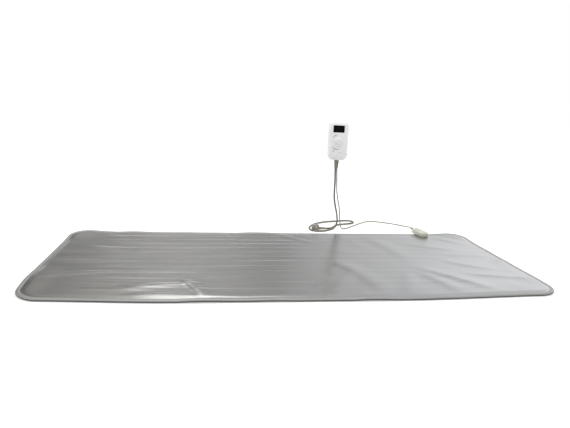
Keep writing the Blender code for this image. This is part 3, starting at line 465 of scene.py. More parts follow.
def wire_ridges(x, y):
    """Twelve lengthwise ridges, plain at the slack left part and faint on the right."""
    strength = 0.35 + 0.65 * (1 - smooth(x, -0.02, 0.10))
    strength = strength * smooth(x, WIRE_ENDS[0], WIRE_ENDS[0] + 0.16)
    strength = strength * (1 - smooth(x, WIRE_ENDS[1] - 0.05, WIRE_ENDS[1] + 0.05))
    height = np.zeros_like(x)
    pitch = 2 * WIRE_REACH / (WIRE_RUNS - 1)
    for run in range(WIRE_RUNS):
        middle = -WIRE_REACH + run * pitch
        wander = 0.0020 * np.sin(7.3 * x + 1.7 * run) + 0.0012 * np.sin(19.0 * x + 2.9 * run)
        swell = 1.0 + 0.45 * np.sin(5.1 * x + 2.3 * run) * np.sin(9.7 * x + run)
        across = (y - middle - wander) / 0.0115
        height += 0.00085 * swell * np.exp(-across ** 2)
        between = (y - middle - 0.5 * pitch - 2 * wander) / 0.007
        height += 0.00030 * (2.0 - swell) * np.exp(-between ** 2)
    return height * strength


# %% Slow waves and folds
def slow_waves(x, y):
    """Broad unevenness of the wadding, under a millimetre."""
    return 0.00030 * (np.sin(6.1 * x + 9.0 * y + 0.4) + np.sin(13.0 * x - 5.3 * y + 2.2)
                      + 0.7 * np.sin(3.1 * x - 17.0 * y + 1.1) + 0.5 * np.sin(29.0 * x + 8.0 * y))


# Each fold: the three points of its bent line, its height in mm, and the widths in mm of
# its flank on the left and on the right of the line's direction.
FOLDS = [
    ((-0.400, -0.215), (-0.358, -0.292), (-0.322, -0.372), 4.6, 34, 10),
    ((-0.600, -0.312), (-0.470, -0.262), (-0.375, -0.262), 2.8, 16, 22),
    ((-0.560, -0.366), (-0.442, -0.338), (-0.350, -0.364), 2.2, 14, 18),
    ((-0.238, 0.372), (-0.214, 0.230), (-0.165, 0.060), 1.5, 9, 16),
    ((0.160, -0.020), (0.245, -0.140), (0.266, -0.380), 3.4, 52, 26),
    ((0.110, -0.330), (0.185, -0.170), (0.240, -0.090), 1.3, 24, 26),
    ((0.300, 0.350), (0.330, 0.233), (0.350, 0.090), 0.6, 34, 30),
    ((0.330, -0.365), (0.392, -0.254), (0.425, -0.120), 1.5, 22, 34),
    ((0.400, 0.310), (0.468, 0.190), (0.462, 0.000), 1.9, 44, 30),
    ((0.470, -0.090), (0.575, -0.205), (0.672, -0.345), 2.8, 34, 26),
    ((0.450, -0.130), (0.512, -0.250), (0.530, -0.362), 1.7, 34, 24),
    ((0.550, 0.230), (0.650, 0.165), (0.760, 0.130), 1.4, 26, 24),
    ((0.620, 0.000), (0.700, -0.085), (0.800, -0.125), 1.6, 26, 26),
    ((0.610, -0.160), (0.750, -0.212), (0.862, -0.236), 1.8, 26, 24),
    ((0.640, 0.066), (0.755, 0.066), (0.862, 0.046), 1.4, 22, 26),
    ((0.690, 0.360), (0.800, 0.270), (0.862, 0.188), 1.4, 24, 24),
    ((-0.800, 0.170), (-0.700, 0.135), (-0.560, 0.105), 1.2, 18, 15),
    ((-0.840, -0.030), (-0.720, -0.010), (-0.560, -0.035), 1.0, 18, 14),
    ((-0.870, -0.200), (-0.760, -0.150), (-0.600, -0.140), 1.0, 20, 16),
    ((-0.780, 0.335), (-0.650, 0.300), (-0.480, 0.285), 1.0, 18, 15),
    ((0.020, -0.330), (0.080, -0.270), (0.130, -0.170), 0.8, 14, 18),
    ((0.000, 0.375), (0.060, 0.290), (0.150, 0.230), 0.9, 12, 18),
]


def fold_height(x, y, start, middle, end, height, left, right):
    """A crest along a bent line, steep on one flank and gentle on the other."""
    count = 14
    ts = np.linspace(0, 1, count + 1)[:, None]
    line = ((1 - ts) ** 2 * np.array(start) + 2 * ts * (1 - ts) * np.array(middle)
            + ts ** 2 * np.array(end))
    nearest = np.full_like(x, 1e9)
    side, along = np.zeros_like(x), np.zeros_like(x)
    for i in range(count):
        run = line[i + 1] - line[i]
        px, py = x - line[i][0], y - line[i][1]
        t = np.clip((px * run[0] + py * run[1]) / (run @ run), 0, 1)
        gap = np.hypot(px - t * run[0], py - t * run[1])
        closer = gap < nearest
        nearest = np.where(closer, gap, nearest)
        side = np.where(closer, run[0] * py - run[1] * px, side)
        along = np.where(closer, (i + t) / count, along)
    width = np.where(side > 0, left, right) * MM
    taper = np.sin(np.pi * np.clip(along, 0.02, 0.98)) ** 0.6
    return height * MM * taper * np.exp(-(nearest / width) ** 2)


# %% The mat's top and bottom surfaces
FULL_HEIGHT, HEM_SEAT = 0.0103, 0.0080


def top_height(x, y):
    """Sum of all causes, from the seat under the hem to the full pad."""
    inset = inset_of(x, y)
    pad = HEM_SEAT + (FULL_HEIGHT - HEM_SEAT) * smooth(inset, 0.0155, 0.0300)
    relief = wire_ridges(x, y) + slow_waves(x, y)
    for fold in FOLDS:
        relief += fold_height(x, y, *fold)
    pressed = 1 - near_connector(x, y, 0.11)
    return pad + relief * smooth(inset, 0.0155, 0.028) * pressed + edge_lift(x, y)


def bottom_height(x, y):
    """The underside rests on the floor, and steps up over the hem's lower flange."""
    step = 0.0012 * (1 - smooth(inset_of(x, y), 0.0155, 0.023))
    return 0.0001 + step + edge_lift(x, y)


# %% A closed grid between two surfaces
def build_sheet(name, inset, across, along, lower, upper):
    """A closed sheet with the mat's outline, moved in by inset, between two height functions."""
    half_x, half_y, corner = HALF_X - inset, HALF_Y - inset, CORNER - inset
    rows = np.linspace(-1, 1, across + 1) * half_y
    beyond = np.maximum(np.abs(rows) - (half_y - corner), 0)
    reach = half_x - corner + np.sqrt(corner ** 2 - beyond ** 2)
    x = reach[:, None] * np.linspace(-1, 1, along + 1)[None, :]
    y = np.repeat(rows[:, None], along + 1, axis=1)
    place = settled(x, y)
    top = np.stack([*place, upper(x, y)], axis=-1).reshape(-1, 3)
    bottom = np.stack([*place, lower(x, y)], axis=-1).reshape(-1, 3)
    width, count = along + 1, (along + 1) * (across + 1)
    corners = (np.arange(across)[:, None] * width + np.arange(along)[None, :]).reshape(-1)
    over = np.stack([corners, corners + 1, corners + width + 1, corners + width], axis=-1)
    under = over[:, ::-1] + count
    rim = (list(range(along)) + [r * width + along for r in range(across)]
           + [count - 1 - i for i in range(along)] + [r * width for r in range(across, 0, -1)])
    walls = [(b, a, a + count, b + count) for a, b in zip(rim, rim[1:] + rim[:1])]
    piece = mesh_object(name, np.vstack([top, bottom]).tolist(), [],
                        over.tolist() + under.tolist() + walls)
    piece.data.shade_smooth()
    piece.data.set_sharp_from_angle(angle=math.radians(50))
    print(f"{name}: {len(piece.data.polygons)} faces, up to {float(top[:, 2].max()) / MM:.1f} mm")
    return piece


mat_skin = build_sheet("mat_skin", 0.012, 156, 300, bottom_height, top_height)

# %% [markdown]
# ### Silver PVC-coated cloth
# A nylon cloth is coated with PVC that holds aluminium flakes, and is pressed by a fine
# grained roller. The flakes make it a soft mirror: highly metallic, but rough enough to
# blur what it reflects. The grain is about 0.7 mm and the threads under it 1.2 mm apart.
# Both are drawn half as coarse again as they are, so that they show in a wide view.

# %% The silver cloth
def silver_cloth(name, low, high, roughness, metallic, streaks):
    material = new_material(name, low, roughness, metallic=metallic)
    tree = material.node_tree
    place = object_place(tree)
    cloudy = noise(tree, place, 0.16, detail=4, stretch=(2.2, 1, 1)).outputs["Fac"]
    streaky = noise(tree, place, 0.055, detail=1, stretch=(streaks, 1, 1)).outputs["Fac"]
    both = add_node(tree, "ShaderNodeMath", {0: cloudy, 1: streaky}, operation="ADD").outputs[0]
    half = add_node(tree, "ShaderNodeMath", {0: both, 1: 0.5}, operation="MULTIPLY").outputs[0]
    grain = noise(tree, place, 0.0011, detail=2).outputs["Fac"]
    threads = add_node(tree, "ShaderNodeTexVoronoi", {"Vector": place, "Scale": 1 / 0.0018,
                                                      "Randomness": 0.35})
    normal = bump(tree, threads.outputs["Distance"], 0.000004)
    wire(material, Base_Color=tint(tree, half, low, high),
         Roughness=span(tree, streaky, roughness - 0.015, roughness + 0.02),
         Normal=bump(tree, grain, 0.000006, below=normal))
    return material


silver = silver_cloth("silver PVC-coated nylon, roller grained", "#a6a6a4", "#acacab",
                      roughness=0.25, metallic=0.92, streaks=6)
# The hem is the same cloth as the mat. Its base colour is drawn a little darker than the mat's, as
# painted shade.
hem_silver_painted_shade = silver_cloth("silver PVC-coated nylon, folded hem", "#9a9a98", "#a4a4a2",
                          roughness=0.42, metallic=0.55, streaks=3)
# The underside and the hem's lower half are the same silver cloth. This dark grey is painted shade;
# only the weave bump is the cloth's own.
PAINTED_SHADE_GREY = new_material("dark grey coated nylon, underside", "#464644", 0.75)
painted_shade_tree = PAINTED_SHADE_GREY.node_tree
weave = noise(painted_shade_tree, object_place(painted_shade_tree), 0.0020, detail=3).outputs["Fac"]
wire(PAINTED_SHADE_GREY, Base_Color=tint(painted_shade_tree, weave, "#424240", "#4a4a48"),
     Normal=bump(painted_shade_tree, weave, 0.00005))
mat_skin.data.materials.append(silver)
mat_skin.data.materials.append(PAINTED_SHADE_GREY)
# Faces that point downwards get the dark grey of painted shade.
for face in mat_skin.data.polygons:
    face.material_index = int(face.normal.z < 0)
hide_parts("top_cover", "bottom_cover")
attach(mat_skin, "blanket")

# %% [markdown]
# ## The hem
# A strip of the same cloth is folded round the edge of both covers and sewn through. Seen
# in section it is a C: a round nose outside and a flange on each side, the upper one a
# little crowned, with the stitches sunk near its inner edge. Sweeping that section round
# the outline is the direct way to make it, and it follows the edge's lift exactly.

# %% Points round the outline
def outline(inset, spacing=0.009, corner_steps=22):
    """Points and outward directions round the mat, moved in by inset."""
    straight_x, straight_y = HALF_X - CORNER, HALF_Y - CORNER
    radius = CORNER - inset
    points = []
    for sx, sy, start in ((1, -1, -90), (1, 1, 0), (-1, 1, 90), (-1, -1, 180)):
        for step in range(corner_steps + 1):
            angle = math.radians(start + 90 * step / corner_steps)
            out = Vector((math.cos(angle), math.sin(angle)))
            points.append((Vector((sx * straight_x, sy * straight_y)) + out * radius, out))
        run = 2 * (straight_y if sx * sy < 0 else straight_x)
        along = Vector((-out.y, out.x))
        count = int(run / spacing)
        corner_end = points[-1][0]
        points += [(corner_end + along * run * k / count, out) for k in range(1, count)]
    return points


# %% The hem's section, swept round
def hem_section():
    """(inset, height) in mm, anticlockwise from the lower flange's inner edge."""
    nose = [(4.5 - 4.3 * math.cos(a), 4.55 + 4.45 * math.sin(a))
            for a in np.linspace(-0.5 * math.pi, 0.5 * math.pi, 13)]
    lower = [(14.6, 0.15), (10.0, 0.05)]
    upper = [(7.6, 8.95), (9.8, 8.85), (11.2, 8.62), (11.9, 8.35), (12.5, 8.30), (13.1, 8.48),
             (14.0, 8.50), (14.7, 8.22), (15.1, 7.60), (15.0, 6.90), (14.2, 6.40)]
    inside = [(10.0, 6.50), (8.2, 5.60), (7.4, 4.40), (8.4, 2.60), (10.0, 1.45), (14.4, 1.10),
              (15.0, 0.70)]
    return [(i * MM, z * MM) for i, z in lower + nose + upper + inside]


def build_hem():
    section = hem_section()
    stations = outline(0.0)
    vertices = []
    for base, out in stations:
        for inset, z in section:
            place = base - out * inset
            lift = float(edge_lift(np.array(place.x), np.array(place.y)))
            vertices.append((*settled(place.x, place.y), z + lift))
    count, width = len(stations), len(section)
    faces = []
    for s in range(count):
        for k in range(width):
            a, b = s * width + k, s * width + (k + 1) % width
            c, d = ((s + 1) % count) * width + (k + 1) % width, ((s + 1) % count) * width + k
            faces.append((a, d, c, b))
    piece = faces_outward(mesh_object("mat_hem", vertices, [], faces))
    piece.data.shade_smooth()
    piece.data.set_sharp_from_angle(angle=math.radians(60))
    print("mat_hem:", count, "stations,", len(faces), "faces")
    return piece


mat_hem = build_hem()
mat_hem.data.materials.append(hem_silver_painted_shade)
mat_hem.data.materials.append(PAINTED_SHADE_GREY)
# Hem faces that point downwards or outwards, below 0.3, get the dark grey of painted shade: it draws
# the shade line under the hem's nose.
for face in mat_hem.data.polygons:
    face.material_index = int(face.normal.z < 0.3)
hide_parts("edge_binding")
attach(mat_hem, "blanket")

# %% [markdown]
# ### Stitches along the hem
# The hem is sewn with a lock stitch in pale grey polyester thread, one stitch every 6 mm.
# One stitch is modelled as a short bent sausage of thread whose ends dive into the cloth,
# and then copied round the sunk line of the hem.

# %% One stitch, then a row of them
STITCH_PITCH, STITCH_LENGTH, THREAD = 0.0060, 0.0044, 0.00055


def build_stitches(inset, height):
    """Copies of a six-sided bent thread, at even steps along the line at that inset."""
    line = [base for base, out in outline(inset, spacing=0.004, corner_steps=44)]
    line.append(line[0])
    sections = ((-0.50, -0.55), (-0.30, 0.35), (0.0, 0.62), (0.30, 0.35), (0.50, -0.55))
    vertices, faces = [], []
    walked, target = 0.0, 0.0
    for a, b in zip(line, line[1:]):
        length = (b - a).length
        while target <= walked + length and length > 0:
            middle = a.lerp(b, (target - walked) / length)
            ahead = (b - a) / length
            side = Vector((-ahead.y, ahead.x))
            lift = float(edge_lift(np.array(middle.x), np.array(middle.y)))
            first = len(vertices)
            for along, up in sections:
                centre = middle + ahead * along * STITCH_LENGTH
                for k in range(6):
                    angle = math.pi * k / 3
                    x, y = centre + side * THREAD * math.cos(angle)
                    vertices.append((*settled(x, y), height + lift
                                     + THREAD * (up + 0.8 * math.sin(angle))))
            for s in range(4):
                for k in range(6):
                    p, q = first + 6 * s + k, first + 6 * s + (k + 1) % 6
                    faces.append((p, p + 6, q + 6, q))
            faces.append(tuple(first + k for k in range(6)))
            faces.append(tuple(first + 24 + k for k in reversed(range(6))))
            target += STITCH_PITCH
        walked += length
    piece = faces_outward(mesh_object("hem_stitches", vertices, [], faces))
    piece.data.shade_smooth()
    print("hem_stitches:", len(faces) // 26, "stitches")
    return piece


thread = new_material("polyester sewing thread, pale grey", "#b9b8b2", 0.62)
thread_tree = thread.node_tree
twist = add_node(thread_tree, "ShaderNodeTexWave",
                 {"Vector": object_place(thread_tree), "Scale": 1 / 0.0012, "Distortion": 1.0})
wire(thread, Base_Color=tint(thread_tree, twist.outputs["Fac"], "#a3a29c", "#c4c3bd"),
     Normal=bump(thread_tree, twist.outputs["Fac"], 0.00005))
hem_stitches = build_stitches(0.0124, 0.0083)
hem_stitches.data.materials.append(thread)
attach(hem_stitches, "blanket")

# %% [markdown]
# ## Moulded pieces: helpers
# The rigid pieces are injection moulded. A moulding has no sharp outer edge: its rims are
# rounded, its halves meet at a fine V groove, and round pieces are turned about an axis.
# These helpers do the steps that repeat: work in edit mode, apply a modifier, cut with
# another shape, and turn a profile.

# %% Helpers for pieces made with operators
def into(piece, choose=None, mode="FACE"):
    """Edit mode on this piece alone, with the elements that choose picks selected."""
    deselect()
    bpy.context.view_layer.objects.active = piece
    piece.select_set(True)
    bpy.ops.object.mode_set(mode="EDIT")
    bpy.ops.mesh.select_mode(type=mode)
    bpy.ops.mesh.select_all(action="DESELECT")
    bm = bmesh.from_edit_mesh(piece.data)
    chosen = {"FACE": bm.faces, "EDGE": bm.edges, "VERT": bm.verts}[mode]
    for element in chosen:
        element.select_set(choose is None or bool(choose(element)))
    bm.select_flush_mode()
    bmesh.update_edit_mesh(piece.data)
    return piece


def out_of():
    bpy.ops.object.mode_set(mode="OBJECT")


def modify(piece, kind, **settings):
    """Adds a modifier with these settings and applies it."""
    deselect()
    bpy.context.view_layer.objects.active = piece
    piece.select_set(True)
    modifier = piece.modifiers.new(kind.lower(), kind)
    for name, value in settings.items():
        setattr(modifier, name, value)
    bpy.ops.object.modifier_apply(modifier=modifier.name)
    return piece


def combine(piece, other, operation="DIFFERENCE"):
    """Cuts another shape out of this piece, or joins it on, and removes the other."""
    modify(piece, "BOOLEAN", object=other, operation=operation, solver="EXACT")
    bpy.data.objects.remove(other)
    return piece


def placed(piece, transform):
    """The piece's own place goes into its mesh, then the mesh into the object's frame."""
    piece.data.transform(transform @ piece.matrix_world)
    piece.matrix_world = Matrix.Identity(4)
    return piece


def shaded(piece, material, angle=38):
    """Smooth shading with crisp edges past an angle, and its material."""
    deselect()
    bpy.context.view_layer.objects.active = piece
    piece.select_set(True)
    bpy.ops.object.shade_smooth_by_angle(angle=math.radians(angle))
    piece.data.materials.clear()
    piece.data.materials.append(material)
    return piece


def block(name, size, centre, radius=0.0, segments=4, rims=None):
    """A box of that size; radius rounds its edges, or only those that rims picks."""
    deselect()
    bpy.ops.mesh.primitive_cube_add(size=1, location=centre)
    piece = bpy.context.object
    piece.name = piece.data.name = name
    piece.scale = size
    bpy.ops.object.transform_apply(location=False, rotation=False, scale=True)
    if radius:
        into(piece, rims, "EDGE")
        bpy.ops.mesh.bevel(offset=radius, segments=segments, profile=0.5)
        out_of()
    return piece


MERGE = 0.00001


def turned(name, profile, steps=64):
    """A profile of (radius, height), outer side from top to bottom, turned about Z."""
    piece = mesh_object(name, [(r, 0, z) for r, z in profile],
                        [(i, i + 1) for i in range(len(profile) - 1)], [])
    modify(piece, "SCREW", axis="Z", steps=steps, render_steps=steps, use_merge_vertices=True,
           merge_threshold=MERGE, use_normal_calculate=True)
    return faces_outward(piece, MERGE)


def rod(name, radius, bottom, top, steps):
    """A plain round rod along Z, to cut a hole or a groove with, or to join on."""
    return turned(name, [(0.0, top), (radius, top), (radius, bottom), (0.0, bottom)], steps)


def rounded(profile, radius, steps=4):
    """A profile's corners rounded by that radius, or less where a side is short."""
    points = [Vector((*p, 0)) for p in profile]
    result = [points[0]]
    for before, corner, after in zip(points, points[1:], points[2:]):
        reach = min(radius, (before - corner).length * 0.45, (after - corner).length * 0.45)
        start = corner + (before - corner).normalized() * reach
        end = corner + (after - corner).normalized() * reach
        result += interpolate_bezier(start, start.lerp(corner, 0.6), end.lerp(corner, 0.6), end,
                                     steps + 1)
    return [(p.x, p.y) for p in result + [points[-1]]]


def finished(piece, body, slot_name, *replaced):
    """Declares what the piece rides on and hides the nodes it stands for; slot_name is not used."""
    if replaced:
        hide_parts(*replaced)
    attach(piece, body)
    print(f"{piece.name}: {len(piece.data.polygons)} faces on {body}")
    return piece


# %% [markdown]
# ## Plastics
# The control is ABS, moulded in a spark-eroded tool that gives it a fine matt grain, in
# white. The connector is the same plastic in a warm cream that has yellowed a little.
# Boots and the plug are soft PVC. What differs is gloss, grain and how even the colour is.

# %% Moulded plastic materials
def moulded(name, low, high, roughness, grain, depth, ior=1.53, cloud=0.03, **sockets):
    """Plastic with a tool grain of that size and depth, and a faint unevenness."""
    material = new_material(name, low, roughness, ior=ior, **sockets)
    tree = material.node_tree
    place = object_place(tree)
    patches = noise(tree, place, cloud, detail=4).outputs["Fac"]
    texture = noise(tree, place, grain, detail=2).outputs["Fac"]
    wire(material, Base_Color=tint(tree, patches, low, high),
         Roughness=span(tree, patches, roughness - 0.05, roughness + 0.06),
         Normal=bump(tree, texture, depth))
    return material


white_abs = moulded("white ABS, fine spark-eroded grain", "#ededed", "#f3f3f2", 0.36, 0.0006, 0.000012)
cream_abs = moulded("cream ABS, satin", "#c6c8b9", "#d0d2c4", 0.38, 0.0008, 0.00002)
grey_abs = moulded("mid grey ABS, satin", "#8f8f8b", "#9a9a96", 0.42, 0.0007, 0.00002)
dark_abs = moulded("black phenolic moulding", "#1c1c1d", "#262627", 0.45, 0.0007, 0.00002)
plug_pvc = moulded("moulded PVC plug, warm grey", "#838072", "#8e8b7d", 0.46, 0.0009, 0.00003)
boot_pvc = moulded("soft PVC strain relief, grey olive", "#737064", "#858276", 0.48, 0.0009, 0.00003)

# %% [markdown]
# ## The connector
# A flat oval housing in two halves. The half on the mat is riveted down, the other pulls
# out sideways with the lead. Each half is a lower tray and a lid that meet at a groove.
# One capsule shape is bevelled from a block, and each of the four pieces is the part of
# it that two cutting planes leave, hollowed to a wall of 1.6 mm.

# %% The connector's own frame
CONNECTOR_TURN = math.radians(8)
HOUSING_SIZE = Vector((0.048, 0.105, 0.020))
HOUSING_WALL, SEAM = 0.0016, 0.0002
SPLIT_Y, SPLIT_Z = 0.004, 0.0084
socket_low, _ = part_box("socket_base")
connector_frame = (Matrix.Translation((0.690, 0.390, socket_low.z))
                   @ Matrix.Rotation(CONNECTOR_TURN, 4, "Z"))


# %% Four shells from one capsule
def housing_shell(name, outer_y, upper):
    """outer_y is -1 for the half on the mat and 1 for the half that pulls out."""
    size = HOUSING_SIZE
    piece = block(name, size, (0, 0, size.z / 2), size.x * 0.485, 18,
                  lambda e: abs((e.verts[0].co - e.verts[1].co).z) > size.z * 0.9)
    into(piece, lambda e: all(v.co.z > size.z / 2 - 1e-5 for v in e.verts), "EDGE")
    bpy.ops.mesh.bevel(offset=0.0085, segments=8, profile=0.5)
    out_of()
    into(piece, lambda e: all(v.co.z < -size.z / 2 + 1e-5 for v in e.verts), "EDGE")
    bpy.ops.mesh.bevel(offset=0.0030, segments=4, profile=0.5)
    out_of()
    placed(piece, Matrix.Identity(4))
    side = -1 if upper else 1
    for point, normal in (((0, SPLIT_Y + outer_y * SEAM / 2, 0), (0, -outer_y, 0)),
                          ((0, 0, SPLIT_Z - side * SEAM / 2), (0, 0, side))):
        into(piece)
        bpy.ops.mesh.bisect(plane_co=point, plane_no=normal, clear_outer=True, use_fill=False)
        out_of()
    modify(piece, "SOLIDIFY", thickness=HOUSING_WALL, offset=-1, use_even_offset=True)
    modify(piece, "BEVEL", width=0.00025, segments=2, limit_method="ANGLE",
           angle_limit=math.radians(50))
    return piece


def grip(shell, count=4, pitch=0.0042, depth=0.0007):
    """Shallow finger grooves across the lid of the half that pulls out."""
    top = HOUSING_SIZE.z
    for k in range(count):
        cutter = rod("groove", 0.0016, -0.012, 0.012, 16)
        placed(cutter, Matrix.Translation((0, 0.017 + k * pitch, top + 0.0016 - depth))
               @ Matrix.Rotation(math.pi / 2, 4, "Y"))
        combine(shell, cutter)
    return shell


BOOT_HOLE = 0.0056
for name, outer_y, upper, body in (("socket_base", -1, False, "blanket"),
                                   ("socket_cover", -1, True, "blanket"),
                                   ("connector_lower_shell", 1, False, "control_set"),
                                   ("connector_upper_shell", 1, True, "control_set")):
    shell = housing_shell(name.replace("shell", "housing").replace("socket", "mat_socket"),
                          outer_y, upper)
    if outer_y > 0:
        hole = rod("hole", BOOT_HOLE, -0.01, 0.01, 32)
        placed(hole, Matrix.Translation((0, HOUSING_SIZE.y / 2, HOUSING_SIZE.z / 2))
               @ Matrix.Rotation(math.pi / 2, 4, "X"))
        combine(shell, hole)
        if upper:
            grip(shell)
    placed(shaded(shell, cream_abs), connector_frame)
    finished(shell, body, "cream_plastic", name)

# %% The connector's boot, a ribbed taper
def boot(name, length, base, tip, ribs, collar=0.0):
    """A tapered sleeve along Z from its base, with rings cut into it so that it bends."""
    profile = [(0.0, length), (tip - 0.0006, length), (tip, length - 0.0008)]
    start, end = length - 0.004, length * 0.30
    step = (start - end) / ribs
    for k in range(ribs):
        z = start - k * step
        share = 1 - z / length
        outer = tip + (base - tip) * share ** 0.8
        profile += [(outer, z), (outer - 0.0009, z - 0.15 * step), (outer - 0.0009, z - 0.45 * step),
                    (outer + 0.0001, z - 0.60 * step)]
    profile += [(base, length * 0.27), (base, collar), (base - 0.0010, collar), (base - 0.0010, 0.0),
                (0.0, 0.0)]
    return turned(name, rounded(profile, 0.0004, 2), 40)


connector_boot = boot("connector_boot_ribbed", 0.034, 0.0062, 0.0042, 6, collar=0.0050)
placed(connector_boot, connector_frame @ Matrix.Translation((0, 0.0485, HOUSING_SIZE.z / 2))
       @ Matrix.Rotation(-math.pi / 2, 4, "X"))
finished(shaded(connector_boot, boot_pvc), "control_set", "grey_plastic", "connector_boot")

# %% [markdown]
# ## The mains plug
# A round two-pin plug with side earth clips, moulded in one piece round its cord. It lies
# on its back, pins up, with its cord leaving sideways along the floor. The body is a
# turned profile with a finger waist. Two pockets hold the earth clips.

# %% The plug's body and boot
_, plug_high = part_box("plug_body")
PLUG_XY = Vector((0.200, 0.495, 0.0))
PLUG_RADIUS, PLUG_HEIGHT = 0.0185, plug_high.z
INSERT_POCKET = 0.0153
plug_profile = [(0.0, PLUG_HEIGHT - 0.0020), (INSERT_POCKET, PLUG_HEIGHT - 0.0020),
                (INSERT_POCKET, PLUG_HEIGHT), (PLUG_RADIUS - 0.0022, PLUG_HEIGHT),
                (PLUG_RADIUS - 0.0006, 0.0225), (PLUG_RADIUS - 0.0006, 0.0180),
                (PLUG_RADIUS - 0.0016, 0.0165), (PLUG_RADIUS - 0.0016, 0.0145),
                (PLUG_RADIUS, 0.0125), (PLUG_RADIUS, 0.0030), (PLUG_RADIUS - 0.0030, 0.0002),
                (0.0, 0.0002)]
plug_body = turned("plug_moulding", rounded(plug_profile, 0.0014), 72)
for side in (-1, 1):
    combine(plug_body, block("pocket", (0.0061, 0.0040, 0.0150),
                             (0, side * (PLUG_RADIUS + 0.0001), PLUG_HEIGHT - 0.0068)))
    pin_hole = rod("hole", 0.0027, 0.016, 0.03, 24)
    combine(plug_body, placed(pin_hole, Matrix.Translation((side * 0.0095, 0, 0))))
placed(plug_body, Matrix.Translation(PLUG_XY))
finished(shaded(plug_body, plug_pvc), "control_set", "cord_plastic", "plug_body")
plug_boot = boot("plug_boot_ribbed", 0.030, 0.0064, 0.0051, 5)
placed(plug_boot, Matrix.Translation(PLUG_XY + Vector((PLUG_RADIUS - 0.0004, 0, 0.0085)))
       @ Matrix.Rotation(math.pi / 2, 4, "Y"))
finished(shaded(plug_boot, plug_pvc), "control_set", "cord_plastic", "plug_boot")
PLUG_PIECES = [plug_body, plug_boot] + [n for n in PLUG_NODES if n not in ("plug_body", "plug_boot")]

# %% [markdown]
# ## The hand control
# A white handset, 18 cm tall and 5 cm thick, that stands upright above its cords and is
# turned a little from the mat's line. Front and rear are two hollow mouldings with a domed
# rim, rounder at the bottom, and sides that swell slightly in the middle. No primitive has
# such an outline, so each shell is lofted through rings of one outline function. It is
# then given its wall, and its openings are cut as in the mould.

# %% The handset's frame and sizes
HANDSET_AT = Vector((0.2834, 0.500, 0.4334))
handset_frame = Matrix.Translation(HANDSET_AT) @ Matrix.Rotation(math.radians(-8), 4, "Z")
CASE_WIDTH, CASE_HEIGHT, CASE_WALL = 0.0945, 0.1817, 0.0018
FRONT_DEPTH, REAR_DEPTH = 0.0200, 0.0180
WINDOW_SIZE, WINDOW_Z = (0.0520, 0.0325), 0.0570
DIAL_RADIUS, DIAL_HEIGHT, DIAL_Z = 0.0165, 0.0075, -0.0044
BUTTON_RADIUS, SWITCH_Z = 0.0080, -0.0585
LAMP_XZ = (-0.0205, -0.0465)


def case_ring(inset, depth, corner_steps=12, side_steps=10):
    """The case's outline moved in by inset, at a depth in front of the parting plane."""
    half_w, half_h = CASE_WIDTH / 2 - inset, CASE_HEIGHT / 2 - inset
    chin = 0.35 * max(inset - 0.0008, 0) if depth > 0 else 0
    points = []
    for sx, sz, start, radius in ((1, -1, -90, 0.024), (1, 1, 0, 0.017),
                                  (-1, 1, 90, 0.017), (-1, -1, 180, 0.024)):
        radius = max(radius - 0.45 * inset, 0.006)
        for step in range(corner_steps + 1):
            angle = math.radians(start + 90 * step / corner_steps)
            points.append((sx * (half_w - radius) + radius * math.cos(angle),
                           sz * (half_h - radius) + radius * math.sin(angle)))
        if sz == -1 and sx == 1 or sz == 1 and sx == -1:
            side, low = points[-1]
            high = -sz * (half_h - max((0.017 if sx == 1 else 0.024) - 0.45 * inset, 0.006))
            points += [(side, low + (high - low) * k / side_steps) for k in range(1, side_steps)]
    swell = 0.035
    return [(x * (1 + swell * (1 - (z / half_h) ** 2)) / (1 + swell), -depth,
             z + chin * min(max(0.5 - z / half_h, 0), 1.5) / 1.5) for x, z in points]


# %% Loft a shell, hollow it, and cut its openings
def loft(name, rings, close_first=False, close_last=True):
    """A surface through rings of equal point counts, with flat ends where asked."""
    count = len(rings[0])
    vertices = [point for ring in rings for point in ring]
    faces = [(r * count + k, r * count + (k + 1) % count, (r + 1) * count + (k + 1) % count,
              (r + 1) * count + k) for r in range(len(rings) - 1) for k in range(count)]
    if close_last:
        faces.append(tuple(range((len(rings) - 1) * count, len(rings) * count)))
    if close_first:
        faces.append(tuple(reversed(range(count))))
    return mesh_object(name, vertices, [], faces)


def outward(piece, centre=(0, 0, 0)):
    """Turns the faces outwards on a shape that is open or closed, before it gets a wall."""
    bm = bmesh.new()
    bm.from_mesh(piece.data)
    bmesh.ops.recalc_face_normals(bm, faces=bm.faces)
    total = sum((f.calc_center_median() - Vector(centre)).dot(f.normal) * f.calc_area()
                for f in bm.faces)
    if total < 0:
        bmesh.ops.reverse_faces(bm, faces=bm.faces)
    bm.to_mesh(piece.data)
    bm.free()
    return piece


FRONT_CROWN = [(0.55, 0.10), (0.15, 0.30), (0.0, 0.70), (0.0, 2.0), (0.25, 4.6), (0.75, 7.6),
               (1.6, 10.6), (2.9, 13.4), (4.7, 15.8), (7.0, 17.7), (9.8, 19.1), (13.0, 19.85),
               (16.6, 20.0)]
REAR_CROWN = [(0.55, 0.25), (0.15, 0.45), (0.0, 0.85), (0.0, 2.0), (0.25, 4.6), (0.8, 7.6),
              (1.7, 10.4), (3.1, 13.0), (5.0, 15.2), (7.6, 16.9), (10.8, 17.8), (14.0, 18.0)]


def case_shell(name, crown, facing):
    rings = [case_ring(inset * MM, facing * depth * MM) for inset, depth in crown]
    shell = outward(loft(name, rings), (0, facing * 0.02, 0))
    return modify(shell, "SOLIDIFY", thickness=CASE_WALL, offset=-1, use_even_offset=True)


front_case = case_shell("front_case", FRONT_CROWN, 1)
rear_case = case_shell("rear_case", REAR_CROWN, -1)


def upright(e):
    """An edge that runs front to back, so that rounding it rounds a shape's corners."""
    return abs((e.verts[0].co - e.verts[1].co).y) > 0.9 * (e.verts[0].co - e.verts[1].co).length


def rod_cutter(radius, at, length=0.014, steps=48):
    half = length / 2
    cutter = rod("cutter", radius, -half, half, steps)
    return placed(cutter, Matrix.Translation(at) @ Matrix.Rotation(math.pi / 2, 4, "X"))


